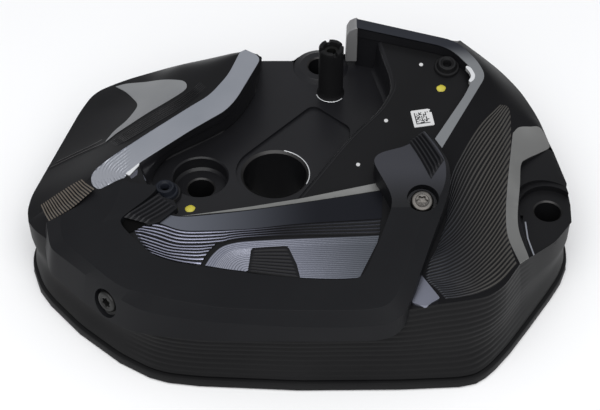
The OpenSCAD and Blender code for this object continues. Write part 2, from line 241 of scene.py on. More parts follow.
def ramp(nodes, links, source, low, high, a, b):
    """Colour that goes from a to b as source goes from low to high."""
    r = nodes.new("ShaderNodeValToRGB")
    r.color_ramp.elements[0].position = low
    r.color_ramp.elements[1].position = high
    r.color_ramp.elements[0].color = (*a, 1)
    r.color_ramp.elements[1].color = (*b, 1)
    links.new(source, r.inputs["Fac"])
    return r.outputs["Color"]


def spread_value(nodes, links, source, low, high):
    """source (0 to 1) rescaled to run from low to high."""
    m = nodes.new("ShaderNodeMapRange")
    m.inputs["To Min"].default_value = low
    m.inputs["To Max"].default_value = high
    links.new(source, m.inputs["Value"])
    return m.outputs["Result"]


def noise(nodes, links, scale, detail=4.0, stretch=(1, 1, 1), turn=0.0):
    coords = nodes.new("ShaderNodeTexCoord")
    mapping = nodes.new("ShaderNodeMapping")
    mapping.inputs["Scale"].default_value = stretch
    mapping.inputs["Rotation"].default_value = (0, 0, math.radians(turn))
    links.new(coords.outputs["Object"], mapping.inputs["Vector"])
    n = nodes.new("ShaderNodeTexNoise")
    n.inputs["Scale"].default_value = scale
    n.inputs["Detail"].default_value = detail
    links.new(mapping.outputs["Vector"], n.inputs["Vector"])
    return n.outputs["Fac"]


def bump(nodes, links, shader, source, distance):
    b = nodes.new("ShaderNodeBump")
    b.inputs["Strength"].default_value = GRAIN_STRENGTH
    b.inputs["Distance"].default_value = distance
    links.new(source, b.inputs["Height"])
    links.new(b.outputs["Normal"], shader.inputs["Normal"])


def finish(name, dark, light, rough, metallic=0.0, grain=(900, 0.03), patch=18.0, stretch=(1, 1, 1), turn=0.0,
           spec=0.5):
    """A finish with cloudy colour and gloss variation and a fine grain."""
    material, nodes, links, shader = node_tree(name)
    clouds = noise(nodes, links, patch, 5.0)
    fine = noise(nodes, links, grain[0], 3.0, stretch, turn)
    links.new(ramp(nodes, links, clouds, 0.3, 0.7, dark, light), shader.inputs["Base Color"])
    links.new(spread_value(nodes, links, clouds, rough[0], rough[1]), shader.inputs["Roughness"])
    bump(nodes, links, shader, fine, grain[1] * MM)
    shader.inputs["Metallic"].default_value = metallic
    shader.inputs["Specular IOR Level"].default_value = spec
    return material


def faded(name, start, end, near, far, rough, metallic, axis="X", spec=0.5):
    """A finish whose colour goes from near to far between two positions in mm on one axis."""
    material = finish(name, near, near, rough, metallic, grain=(500, 0.01), spec=spec)
    nodes, links = material.node_tree.nodes, material.node_tree.links
    coords = nodes.new("ShaderNodeTexCoord")
    parts = nodes.new("ShaderNodeSeparateXYZ")
    where = nodes.new("ShaderNodeMapRange")
    where.inputs["From Min"].default_value = start * MM
    where.inputs["From Max"].default_value = end * MM
    links.new(coords.outputs["Object"], parts.inputs["Vector"])
    links.new(parts.outputs[axis], where.inputs["Value"])
    where.interpolation_type = "SMOOTHSTEP"
    colour = ramp(nodes, links, where.outputs["Result"], 0.0, 1.0, near, far)
    links.new(colour, nodes["Principled BSDF"].inputs["Base Color"])
    return material


# grain of a finish: scale of the noise and its depth in mm
COAT_GRAIN = (2600, 0.02)
SIDE_GRAIN = (2600, 0.03)
RECESS_GRAIN = (2200, 0.03)
BRUSHED = (260, 0.01)
MILLED = (300, 0.01)
RIDGED = (500, 0.01)
MOULDED = (3200, 0.04)
RUBBER_GRAIN = (1500, 0.02)

BLACK = finish("coated_black", (0.0055, 0.0055, 0.006), (0.008, 0.008, 0.009), (0.36, 0.48),
               grain=COAT_GRAIN, spec=0.135)
BLACK_SIDE = finish("coated_black_side", (0.006, 0.006, 0.0065), (0.009, 0.009, 0.0095), (0.42, 0.54),
                    grain=SIDE_GRAIN, spec=0.12)
RECESS_BLACK = finish("coated_black_recess", (0.0076, 0.0076, 0.0085), (0.011, 0.011, 0.013), (0.28, 0.4),
                      grain=RECESS_GRAIN, spec=0.25)
WING_BLACK = finish("coated_black_wing", (0.0045, 0.0045, 0.005), (0.0065, 0.0065, 0.0075), (0.3, 0.42),
                    grain=RECESS_GRAIN, spec=0.17)
SLOPE_BLACK = finish("coated_black_slope", (0.0055, 0.0055, 0.006), (0.008, 0.008, 0.009), (0.42, 0.52),
                     grain=COAT_GRAIN, spec=0.06)
PIT = finish("shadowed_pit", (0.002, 0.002, 0.002), (0.003, 0.003, 0.003), (0.7, 0.8), spec=0.05)
BRIGHT = finish("milled_bright", (0.37, 0.39, 0.43), (0.45, 0.46, 0.5), (0.3, 0.4), 1.0, grain=BRUSHED,
                stretch=(1, 14, 1), turn=-38.0)
CORNER_METAL = finish("milled_corner", (0.23, 0.24, 0.29), (0.27, 0.28, 0.34), (0.34, 0.44), 1.0,
                      grain=BRUSHED, stretch=(1, 14, 1))
# Near-white milled metal for thin lit edges: a painted highlight, far paler than the same metal elsewhere.
LIP_HIGHLIGHT_METAL = finish("milled_lip_painted_highlight", (0.8, 0.81, 0.82), (0.9, 0.91, 0.92), (0.3, 0.4), 0.7, grain=MILLED)
BRIGHT_WARM = finish("milled_bright_warm", (0.27, 0.27, 0.26), (0.33, 0.33, 0.32), (0.36, 0.46), 1.0,
                     grain=BRUSHED, stretch=(14, 1, 1), turn=8.0)
DOME_METAL = finish("milled_dome", (0.42, 0.43, 0.44), (0.53, 0.54, 0.54), (0.42, 0.52), 1.0, grain=BRUSHED,
                    stretch=(14, 1, 1), turn=-30.0)
RIM_METAL = faded("milled_rim", 54, 67, (0.3, 0.31, 0.32), (0.049, 0.052, 0.062), (0.34, 0.44), 1.0, "Y")
END_FACE = finish("milled_end_face", (0.18, 0.18, 0.19), (0.23, 0.23, 0.23), (0.4, 0.5), 0.2, grain=MILLED)
PANEL_LINE = finish("milled_panel_line", (0.36, 0.37, 0.44), (0.43, 0.44, 0.51), (0.32, 0.42), 1.0,
                    grain=MILLED)
PANEL_GROOVE = finish("milled_panel_groove", (0.15, 0.16, 0.19), (0.19, 0.2, 0.23), (0.36, 0.46), 1.0,
                      grain=MILLED)
PANEL_RIGHT = faded("milled_panel_right", -8, 50, (0.32, 0.33, 0.4), (0.13, 0.14, 0.16), (0.34, 0.44), 1.0)
PANEL_RIGHT_LOW = faded("milled_panel_right_groove", -8, 50, (0.15, 0.16, 0.19), (0.068, 0.072, 0.087),
                        (0.36, 0.46), 1.0)
BLUE_GREY = finish("milled_blue_grey", (0.076, 0.08, 0.099), (0.11, 0.11, 0.13), (0.3, 0.42), 0.9,
                   grain=(420, 0.01), stretch=(1, 10, 1))
# Blue-grey at the strip's left end, near black at its right: a painted reflection along the shiny strip.
STRIP_REFLECTION = faded("milled_strip_painted_reflection", -56, 24, (0.16, 0.17, 0.2), (0.015, 0.016, 0.021), (0.32, 0.42),
                   0.85)
RIB_FADE = faded("milled_rib_fade", -40, 8, (0.35, 0.36, 0.46), (0.023, 0.024, 0.03), (0.34, 0.44), 0.85)
TAN_RIDGE = faded("milled_ridge_tan", 78, 108, (0.022, 0.024, 0.03), (0.084, 0.079, 0.071), (0.36, 0.5),
                  0.6)
TAN_BRIGHT = finish("milled_ridge_tan_bright", (0.15, 0.13, 0.1), (0.21, 0.18, 0.15), (0.36, 0.5), 0.8,
                    grain=RIDGED)
DARK_RIDGE = finish("milled_ridge_dark", (0.008, 0.008, 0.01), (0.012, 0.012, 0.015), (0.4, 0.52), 0.2,
                    grain=RIDGED, spec=0.2)
BORE_EDGE = finish("bore_edge", (0.02, 0.02, 0.02), (0.04, 0.038, 0.038), (0.34, 0.44), 0.6, grain=RIDGED)
# Lighter grey metal for the crest of the dome's crease: a painted highlight where the crease catches the
# light.
CREASE_HIGHLIGHT = finish("crease_painted_highlight", (0.068, 0.068, 0.068), (0.11, 0.1, 0.1), (0.3, 0.4), 0.8, grain=RIDGED)
PLASTIC = finish("guard_plastic", (0.007, 0.0072, 0.0085), (0.0095, 0.0098, 0.011), (0.44, 0.54),
                 grain=MOULDED, spec=0.11)
# Smoother, paler copy of the guard plastic for the block's top, paler towards the back: a painted sheen where
# the top faces the light.
PLASTIC_TOP_SHEEN = faded("guard_plastic_painted_sheen", -40, -16, (0.0085, 0.0088, 0.01), (0.034, 0.035, 0.042),
                    (0.36, 0.46), 0.0, "Y", 0.22)
PLASTIC_RIB = finish("guard_plastic_rib", (0.012, 0.012, 0.014), (0.016, 0.016, 0.018), (0.42, 0.52),
                     grain=(3200, 0.03), spec=0.2)
RUBBER = finish("grommet_rubber", (0.007, 0.0085, 0.013), (0.011, 0.013, 0.019), (0.45, 0.56),
                grain=RUBBER_GRAIN, spec=0.22)
RUBBER_GREY = finish("grommet_rubber_grey", (0.0075, 0.0075, 0.008), (0.011, 0.011, 0.012), (0.45, 0.56),
                     grain=RUBBER_GRAIN, spec=0.2)
SEAL = finish("seal_rubber", (0.012, 0.014, 0.012), (0.02, 0.022, 0.02), (0.55, 0.7), grain=(1500, 0.03))
STEEL = finish("plated_steel", (0.084, 0.081, 0.077), (0.14, 0.13, 0.12), (0.34, 0.5), 1.0,
               grain=(900, 0.03), patch=160.0)
DARK_STEEL = finish("dark_steel", (0.02, 0.02, 0.02), (0.035, 0.035, 0.034), (0.4, 0.5), 0.8,
                    grain=(900, 0.03))
BRASS = finish("insert_brass", (0.5, 0.38, 0.16), (0.62, 0.5, 0.24), (0.25, 0.4), 1.0, grain=(700, 0.02))
LABEL_WHITE = finish("label_white", (0.58, 0.58, 0.58), (0.66, 0.66, 0.66), (0.5, 0.6), grain=(1500, 0.01))
LABEL_INK = finish("label_ink", (0.02, 0.02, 0.022), (0.03, 0.03, 0.033), (0.5, 0.65), grain=(1500, 0.01))
YELLOW = finish("paint_yellow", (0.42, 0.36, 0.03), (0.56, 0.5, 0.06), (0.4, 0.55), grain=(700, 0.05),
                patch=300.0)
WHITE = finish("paint_white", (0.5, 0.5, 0.5), (0.62, 0.62, 0.62), (0.4, 0.55), grain=(700, 0.04),
               patch=300.0)
CAST = finish("cast_inside", (0.02, 0.02, 0.021), (0.034, 0.034, 0.036), (0.55, 0.7), grain=(900, 0.12))


# ---------------------------------------------------------------- meshes

def piece(name, verts, faces, materials, face_material=None, smooth=True, replaces=()):
    """A new visible piece from vertices in millimetres."""
    mesh = bpy.data.meshes.new(name)
    mesh.from_pydata((np.array(verts, float) * MM).tolist(), [], [list(map(int, f)) for f in faces])
    for m in materials:
        mesh.materials.append(m)
    if face_material is not None:
        mesh.polygons.foreach_set("material_index", list(map(int, face_material)))
    mesh.polygons.foreach_set("use_smooth", [smooth] * len(mesh.polygons))
    mesh.update()
    if smooth:
        mesh.set_sharp_from_angle(angle=math.radians(SHARP_ANGLE))
    obj = bpy.data.objects.new(name, mesh)
    bpy.context.scene.collection.objects.link(obj)
    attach(obj, "root")
    for node in replaces:
        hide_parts(node)
    return obj


def grid_faces(rows, columns, closed=False, flip=False):
    faces = []
    for j in range(rows - 1):
        for i in range(columns if closed else columns - 1):
            k = (i + 1) % columns
            face = (j * columns + i, j * columns + k, (j + 1) * columns + k, (j + 1) * columns + i)
            faces.append(face[::-1] if flip else face)
    return faces


def blend_rails(rails, rows):
    """Rails of equal length joined across by smooth lines, one row of points for each step."""
    rails = np.array(rails, float)
    if len(rails) == 2:
        t = np.linspace(0, 1, rows)[:, None, None]
        return rails[0] * (1 - t) + rails[1] * t
    columns = [spread(curve(rails[:, i], pieces=12), rows, even=False) for i in range(rails.shape[1])]
    return np.stack(columns, 1)


def inside(points, outline):
    """Which plan points lie inside a closed outline."""
    x, y = points[:, 0][:, None], points[:, 1][:, None]
    x0, y0 = outline[:, 0][None], outline[:, 1][None]
    x1, y1 = np.roll(outline[:, 0], -1)[None], np.roll(outline[:, 1], -1)[None]
    with np.errstate(divide="ignore", invalid="ignore"):
        cross = ((y0 > y) != (y1 > y)) & (x < (x1 - x0) * (y - y0) / (y1 - y0) + x0)
    return cross.sum(1) % 2 == 1


def distance(points, line):
    """Distance from each plan point to a line."""
    a, b = line[:-1], line[1:]
    ab = b - a
    t = ((points[:, None] - a[None]) * ab[None]).sum(-1) / ((ab ** 2).sum(-1)[None] + 1e-12)
    near = a[None] + np.clip(t, 0, 1)[..., None] * ab[None]
    return np.linalg.norm(points[:, None] - near, axis=-1).min(1)


def region(name, outline, height, holes=(), spacing=3.0, material=BLACK,
           shape=None, skirt=0.0, lift=0.0, replaces=()):
    """Skin over a closed 3-D outline: exact at its edge, smooth between, with holes and a skirt."""
    outline = np.array(outline, float)
    loops = [outline] + [np.array(h, float) for h in holes]
    edge = np.vstack([l[:, :2] for l in loops])
    known = np.concatenate([l[:, 2] if l.shape[1] == 3 else height(l) for l in loops])
    edges, k = [], 0
    for l in loops:
        edges += [(k + i, k + (i + 1) % len(l)) for i in range(len(l))]
        k += len(l)
    low, high = edge.min(0), edge.max(0)
    rows = np.arange(low[1], high[1], spacing * NET_ROW)
    net = np.array([(x + (j % 2) * spacing / 2, y) for j, y in enumerate(rows)
                    for x in np.arange(low[0], high[0], spacing)])
    keep = inside(net, outline[:, :2])
    for l in loops:
        keep &= distance(net, np.vstack([l, l[:1]])[:, :2]) > spacing * NET_GAP
    for l in loops[1:]:
        keep &= ~inside(net, l[:, :2])
    net = net[keep]
    coords = [Vector(p) for p in edge] + [Vector(p) for p in net]
    verts, _, faces, source, _, _ = delaunay_2d_cdt(coords, edges, [], 0, 1e-4)
    flat = np.array([tuple(v) for v in verts])
    z = height(flat)
    for i, s in enumerate(source):
        first = min(s) if s else len(known)
        if first < len(known):
            z[i] = known[first]
    if shape is not None:
        z = z + shape(flat)
    faces = np.array([f for f in faces if len(f) == 3])
    middle = flat[faces].mean(1)
    keep = inside(middle, outline[:, :2])
    for l in loops[1:]:
        keep &= ~inside(middle, l[:, :2])
    faces = faces[keep]
    a, b, c = flat[faces[:, 0]], flat[faces[:, 1]], flat[faces[:, 2]]
    turned = np.cross(b - a, c - a) < 0
    faces[turned] = faces[turned][:, ::-1]
    points = np.column_stack([flat, z + lift])
    faces = list(faces)
    if skirt:
        rim = np.column_stack([outline[:, :2], known[:len(outline)] + lift])
        count, n = len(points), len(rim)
        points = np.vstack([points, rim, rim - (0, 0, skirt)])
        ccw = (np.roll(rim[:, 0], -1) - rim[:, 0]) @ (np.roll(rim[:, 1], -1) + rim[:, 1]) < 0
        side = grid_faces(2, n, closed=True, flip=ccw)
        faces += [count + np.array(f) for f in side]
    return piece(name, points, faces, [material], replaces=replaces)


def sheet(name, rails, rows, material=RECESS_BLACK, flip=False, count=None):
    """Skin between rails, which are brought to the same number of points."""
    if count:
        rails = [spread(r, count) for r in rails]
    net = blend_rails(rails, rows)
    return piece(name, net.reshape(-1, 3), grid_faces(rows, net.shape[1], flip=flip), [material])


def pulse(t, duty, flank):
    """A rib's height, 0 to 1, over one repeat: valley, flank, crest, flank."""
    t = np.mod(t, 1.0)
    up = np.clip((t - (1 - duty) / 2 + flank / 2) / flank, 0, 1)
    down = np.clip(((1 + duty) / 2 + flank / 2 - t) / flank, 0, 1)
    return np.minimum(up, down)


def ribbed(name, rails, height, ribs, looks, rise=0.5, lift=0.12, duty=0.5, count=120,
           per=10, fade=(0.0, 0.0)):
    """Ribs that run along the rails, on a surface given as a height over the plan."""
    rows = ribs * per + 1
    net = blend_rails([spread(curve(r, 1.0), count) for r in rails], rows)
    flat = net.reshape(-1, net.shape[2])
    v = np.repeat(np.linspace(0, 1, rows), count)
    u = np.tile(np.linspace(0, 1, count), rows)
    ends = np.ones_like(u)
    if fade[0]:
        ends *= np.clip(u / fade[0], 0, 1)
    if fade[1]:
        ends *= np.clip((1 - u) / fade[1], 0, 1)
    z = height(flat) + lift + rise * pulse(v * ribs, duty, RIB_FLANK) * ends
    middle = (np.arange(rows - 1) + 0.5) / (rows - 1) * ribs
    crest = pulse(middle, duty, RIB_FLANK) > 0.5
    mats = np.repeat(np.where(crest, 0, 1), count - 1)
    return piece(name, np.column_stack([flat[:, :2], z]), grid_faces(rows, count), looks, mats)


# ---------------------------------------------------------------- rails of the cover (mm)

BAND_TOP = [(-90, -14.5, 54), (-87.7, -10, 55), (-81, -3, 56.3), (-62, 12.6, 59.3), (-42.7, 27.8, 62.1),
            (-33, 35, 63.5), (-24, 47.7, 66), (-18.3, 62.4, 68.7)]
BAND_END = [BAND_TOP[-1], (-15.5, 64, 69), (-7, 58.6, 68)]
NOTCH_CORNER = (-72.4, -12.2, 54.5)
BAND_FRONT = [(-85.3, -22, 52.7), (-76, -15.6, 53.9), (-71.8, -14.5, 54.1), NOTCH_CORNER, (-66, -5.8, 55.8)]
BAND_LOW = [BAND_FRONT[-1], (-42, 13.2, 59.4), (-24.6, 25.4, 61.7), (-19.2, 32.8, 63.1), BAND_END[-1]]
NOTCH = [BAND_LOW[0], (-66, -8, 55.2), (-60, -22, 52), (-52, -32, 50.6), (-45, -36.4, 49.9)]
FRONT_TOP = [NOTCH[-1], (-35.5, -35, 50.2), (-11.6, -31, 50.9), (12.5, -26.5, 51.8),
             (50.4, -17.4, 53.5), (51.5, -14.5, 54.1)]
FRONT_LOW = [NOTCH[-1], (-11.5, -32.9, 50.7), (12.5, -28.9, 51.5), (31.8, -25.5, 52.1),
             (52.7, -21.4, 52.8)]
LAND_IN = [FRONT_TOP[-1], (48.5, -5, 55.9), (60, 3, 57.4), (79.3, 8.4, 58.5)]
RIDGE = [FRONT_LOW[-1], (60, -48, 50.3), (68.5, -71.5, 47.5), (75.8, -87, 47.5)]
RIM_CORNER = (94, 69.2, 70.0)
BACK_STEP = (96, 76, 65)        # where the right slope turns to the back, below the rim's corner
RIM_OUT = [(82.5, 3, 57.4), (94.6, 24.8, 61.6), (107, 47, 65.8), (103.6, 56, 67.5), RIM_CORNER,
           (42, 84, 72.8)]
RIM_IN = [LAND_IN[-1], (96.8, 37, 63.9), (101.6, 49.6, 66.3), (89.7, 65, 69.2), (42, 78, 71.7)]
STRIP_LEFT = [(120.4, 23.8, 48), (119.4, 18.7, 48), (113.8, -16.2, 47.5), (111.6, -35.9, 47),
              (111.8, -49, 47), (115.8, -63.4, 46)]
STRIP_TOP = [STRIP_LEFT[0], (124, 28.6, 47.3), (129.8, 30.4, 46), (135.3, 31.7, 44), (139.6, 24.8, 40)]
STRIP_RIGHT = [STRIP_TOP[-1], (138.6, 20.5, 40), (126.2, 8.1, 45), (122.6, 2.8, 46),
               (120.6, -11.8, 46.5), (117.2, -38.3, 46), (120.7, -57.8, 44)]

# Top of the wall, counter-clockwise from the left end of the front
SH_FRONT = [(-121.2, -24, 33.6), (-117.4, -30.5, 34), (-104, -43, 35), (-78, -68, 37), (-57, -85, 41),
            (-35, -91, 43), (12, -92, 43.5), (60, -91, 44.5), (75.8, -89.5, 47.5)]
SH_CORNER = [SH_FRONT[-1], (90, -87.5, 48), (99.8, -85, 48), (107.3, -78.5, 48), STRIP_LEFT[-1]]
SH_PAD = [SH_CORNER[-1], STRIP_RIGHT[-1], (124, -54, 42), (136, -41, 37), (145.5, -27, 36),
          (146.3, -15, 36), (145.6, -3, 36.5), (141.5, 20, 38.5)]
SH_RIGHT = [SH_PAD[-1], STRIP_TOP[-1], (136, 42, 41), (128, 60, 44), (118, 73, 47),
            (107, 79, 53)]
SH_BACK = [SH_RIGHT[-1], (96, 83, 53), (60, 90, 50), (42, 91, 48), (36.5, 88, 44.5), (30, 92, 43.5),
           (23.5, 93.5, 43.5), (17, 92, 43.5), (11, 87, 43.6), (9, 84, 44), (-8, 84, 44)]
SH_LEFT = [SH_BACK[-1], (-25, 86, 46.4), (-50, 77, 48), (-80, 69, 43.6), (-96, 64, 39.4),
           (-102.5, 51, 37.6), (-114, 13, 37), (-121, -9, 36), (-122.2, -17.5, 34.8), SH_FRONT[0]]
FLANGE = [(-122, -27), (-117, -41), (-111, -50), (-95, -68), (-74, -86), (-59, -95), (-50, -98),
          (-35, -100), (12, -102.5), (60, -102), (88, -100.5), (96, -98.5), (101, -95), (106, -90),
          (114, -80), (125, -64), (137, -46), (143, -36), (147, -26), (148, -16), (146.5, 0), (143, 22),
          (138, 45), (130, 66), (116, 83), (97, 92), (60, 96), (20, 98), (-25, 96), (-62, 88), (-88, 74),
          (-104, 52), (-115, 18), (-121, -8), (-122.8, -18)]

# Edges of the recess in plan: foot of its left wall, front of its floor, left edge of the wing
FOOT = [(-60, -14), (-61, 0), (-57, 9), (-42, 19), (-25, 30.5), (-19, 39), (-14, 51), (-11, 66), (-8, 84)]
FLOOR_FRONT = [(12.5, -21), (6.5, -30), (-11.6, -31), (-35.5, -35), (-45, -36.2), (-52, -31.5), (-60, -14)]
WING_LEFT = [(12.5, -21), (37.5, 14.3), (54.5, 32.6), (60.5, 45), (60.2, 53.4), (54.2, 77)]

band_top = rounded(BAND_TOP, 9)
band_front = rounded(BAND_FRONT, 0.8)
band_low = rounded(BAND_LOW, 9)
notch = rounded(NOTCH, 4)
front_top = rounded(FRONT_TOP, 2)
front_low = rounded(FRONT_LOW, 12)
land_in = rounded(LAND_IN, 2)
ridge = polyline(RIDGE)
rim_out, rim_back = split_at(rounded(RIM_OUT, 11), RIM_CORNER)
rim_in = rounded(RIM_IN, 8)
strip_left = curve(STRIP_LEFT, 1.5)
strip_top = curve(STRIP_TOP, 1.0)
strip_right = curve(STRIP_RIGHT, 1.5)
sh_front = rounded(SH_FRONT, 9)
sh_corner = rounded(SH_CORNER, 6)
sh_pad = rounded(SH_PAD, 5)
sh_right = rounded(SH_RIGHT, 9)
sh_back = rounded(SH_BACK, 4)
sh_left = rounded(SH_LEFT, 12)
foot = rounded(at_height(FOOT, FLOOR_Z), 6)
floor_front = at_height(FLOOR_FRONT, FLOOR_Z)
wing_left = rounded(at_height(WING_LEFT, wing_height), 9)


# ---------------------------------------------------------------- skins of the cover

def right_surface():
    return height_through(RIDGE[:3] + [(75.8, -88, 47.5)] + RIM_OUT[:3] + STRIP_LEFT + STRIP_TOP[1:]
                          + list(rim_out[::4]) + SH_CORNER[1:-1]
                          + [BACK_STEP] + SH_RIGHT[:1:-1] + [(67, -9, 54.8)])


def front_surface():
    return height_through(list(front_low[::3]) + RIDGE[1:3] + list(sh_front[::4]) + [
        BAND_TOP[0], BAND_FRONT[0], (-71.8, -14.5, 54), (-64, -20, 52.3), (-68, -45, 48.6),
        (-44.7, -44.4, 49), (-34, -65.4, 46.7), (12.5, -50, 49), (12.5, -72.6, 46.4), (40, -72, 46.8),
        (-95, -35, 46.5)])


def left_surface():
    return height_through(list(band_top[::3]) + list(sh_left[2:-1:4]) + [
        SH_LEFT[0], (-7, 60, 67.5), (-50, 69, 54), (-33, 70, 58), (-68, 63, 47.5), (-68.6, 29, 54),
        (-90, 19.6, 46.5), (-54, 44, 56.5), (-88, 50, 42.5)])


RIGHT, FRONT, LEFT = right_surface(), front_surface(), left_surface()


def skins():
    """The large black surfaces outside the recess."""
    cut = polyline([BAND_TOP[0], SH_LEFT[-1]])
    drop = polyline([BAND_END[1], (-7.2, 59.5, 67.9), SH_LEFT[0]])
    left = chain(band_top, polyline(BAND_END[:2]), drop, sh_left, cut[::-1])
    region("cover_left_skin", left, LEFT, spacing=2.5, replaces=["head_cover"])
    front = chain(cut, sh_front, polyline([SH_FRONT[-1], RIDGE[-1]]), ridge[::-1], front_low[::-1],
                  notch[::-1], band_front[::-1], polyline([BAND_FRONT[0], BAND_TOP[0]]))
    region("cover_front_skin", front, FRONT, spacing=2.5)
    back_drop = polyline([rim_back[0], BACK_STEP, SH_RIGHT[-1]])
    right = chain(ridge[::-1], polyline([RIDGE[0], RIM_OUT[0]]), rim_out, back_drop, sh_right[::-1],
                  strip_top[::-1], strip_left, sh_corner[::-1], polyline([SH_CORNER[0], RIDGE[-1]]))
    region("cover_right_skin", right, RIGHT, spacing=2.5, material=SLOPE_BLACK)
    back_low = sh_back[:np.argmin(np.linalg.norm(sh_back[:, :2] - (42, 91), axis=1)) + 1]
    back = chain(rim_back[::-1], back_drop, back_low, polyline([back_low[-1], RIM_OUT[-1]]))
    region("cover_back_skin", back, height_through(back[::3]), spacing=3.0)


def wall_ring(outline, angles):
    """Points where rays from the wall's centre meet a closed 3-D outline."""
    p = np.array(outline, float)
    a, b = p, np.roll(p, -1, 0)
    out = []
    for t in angles:
        d = np.array([math.cos(t), math.sin(t)])
        across = np.array([-d[1], d[0]])
        sa = (a[:, :2] - WALL_CENTRE) @ across
        sb = (b[:, :2] - WALL_CENTRE) @ across
        best = None
        for i in np.where((sa <= 0) != (sb <= 0))[0]:
            k = sa[i] / (sa[i] - sb[i])
            q = a[i] + (b[i] - a[i]) * k
            r = (q[:2] - WALL_CENTRE) @ d
            if r > 0 and (best is None or r > best[0]):
                best = (r, q)
        out.append(best[1])
    return np.array(out)


def inset(outline, d):
    """A closed counter-clockwise plan outline moved in by d."""
    p = np.array(outline, float)[:, :2]
    before = p - np.roll(p, 1, 0)
    after = np.roll(p, -1, 0) - p
    nb = np.column_stack([-before[:, 1], before[:, 0]]) / np.linalg.norm(before, axis=1)[:, None]
    na = np.column_stack([-after[:, 1], after[:, 0]]) / np.linalg.norm(after, axis=1)[:, None]
    return p + d * (nb + na) / (1 + (nb * na).sum(1))[:, None]


def wall_grooves(x, y, v):
    """Depth of the fine level grooves milled into the front of the wall."""
    fade_right = np.clip((124 - x) / 20, 0, 1)
    fade_left = np.clip((x + 72) / 22, 0, 1)
    front = (y < -35).astype(float)
    height = np.clip(v / 0.06, 0, 1) * np.clip((1.0 - v) / 0.03, 0, 1)
    return 0.35 * fade_right * fade_left * front * height


def outer_wall():
    top = chain(sh_front, sh_corner, sh_pad, sh_right, sh_back, sh_left)
    soft = rounded(FLANGE, 6, 1.5, closed=True)[:-1]
    corners = [math.atan2(p[1], p[0] - WALL_CENTRE[0]) for p in top]
    angles = np.unique(np.round(np.concatenate([np.linspace(-math.pi, math.pi, 500)[:-1], corners]), 4))
    upper = wall_ring(top, angles)
    lower = wall_ring(at_height(inset(soft, LIP), FLANGE_T + 1.2), angles)
    grooves, per = 14, 8
    rows = grooves * per + 1
    v = np.linspace(0, 1, rows)[:, None, None]
    net = lower * (1 - v) + upper * v
    out = net[..., :2] - WALL_CENTRE
    out /= np.linalg.norm(out, axis=-1)[..., None]
    hollow = 1.1 * np.sin(np.pi * np.clip(v[..., 0] * 1.6, 0, 1)) ** 2 * (net[..., 1] < 20)
    depth = wall_grooves(net[..., 0], net[..., 1], v[..., 0] + 0 * net[..., 0])
    wave = 1 - pulse(np.broadcast_to(v[..., 0], net.shape[:2]) * grooves + 0.5, 0.6, 0.36)
    net[..., :2] -= out * (depth * wave + hollow)[..., None]
    piece("cover_wall", net.reshape(-1, 3), grid_faces(rows, len(angles), closed=True), [BLACK_SIDE],
          replaces=["head_cover"])
    ring = [at_height(inset(soft, 0.5), 0), at_height(soft, 0.5), at_height(soft, FLANGE_T - 0.9),
            at_height(inset(soft, 0.3), FLANGE_T - 0.2), at_height(inset(soft, 0.9), FLANGE_T),
            at_height(inset(soft, LIP + 0.7), FLANGE_T), at_height(inset(soft, LIP + 0.7), FLANGE_T + 0.5),
            at_height(inset(soft, LIP), FLANGE_T + 1.2)]
    net = np.array([wall_ring(r, angles) for r in ring])
    piece("cover_flange_edge", net.reshape(-1, 3), grid_faces(len(ring), len(angles), closed=True),
          [BLACK_SIDE])


# ---------------------------------------------------------------- bright facets

def facet(name, outline, height, material, spacing=2.0, shape=None, lift=0.2, skirt=0.7):
    return region(name, outline, height, spacing=spacing, material=material,
                  shape=shape, skirt=skirt, lift=lift)


def band_lines(q):
    """Fine lines that run along the band's lower edge and wrap round its corner."""
    d = distance(q, np.array([NOTCH_CORNER] + BAND_LOW, float)[:, :2])
    along = np.clip((q[:, 0] + 70) / 45, 0, 1)
    corner = np.clip((-68 - q[:, 0]) / 5, 0, 1)
    depth = np.maximum(0.3 * corner, 0.1 * (1 - along))
    return -depth * (0.5 + 0.5 * np.cos(d * 2 * math.pi / 1.5))


def left_band():
    outline = chain(band_top, polyline(BAND_END), band_low[::-1], band_front[::-1],
                    polyline([BAND_FRONT[0], BAND_TOP[0]]))
    region("left_band_base", outline, rim_height, spacing=4.0, lift=-0.1)
    bright = [(-88.7, -18.3), (-89.4, -13.5), (-87.4, -9.6), (-81, -3), (-62, 12.6), (-42.7, 27.8),
              (-33, 35), (-24, 47.7), (-18.3, 62.2), (-15.5, 63.8), (-7.2, 58.8), (-19.4, 32.9),
              (-24.7, 25.6), (-42, 13.4), (-66, -5.6), (-72.3, -11.9), (-72.4, -14.2), (-76, -15.7),
              (-85.3, -21.6)]
    facet("left_bright_band", loop(bright, 5.0, 1.2, rim_height), rim_height, BRIGHT, 0.65, band_lines)
    # A near-white lip on the band's corner edge: a painted highlight.
    edge = [(-72.6, -12.4), (-66.2, -6), (-66.2, -7.4), (-70.6, -13.4)]
    facet("band_corner_lip_highlight", loop(edge, 0.6, 0.8, rim_height), rim_height, LIP_HIGHLIGHT_METAL, 1.0, lift=0.45)
    slant = [(-70.4, -13.8, 54), (-66.4, -8, 55), (-62.5, -14.5, 52.3), (-65.5, -18.5, 51.6)]
    facet("band_corner_facet", chain(polyline(slant + slant[:1], 1.0)), height_through(slant), BLUE_GREY, 1.5)


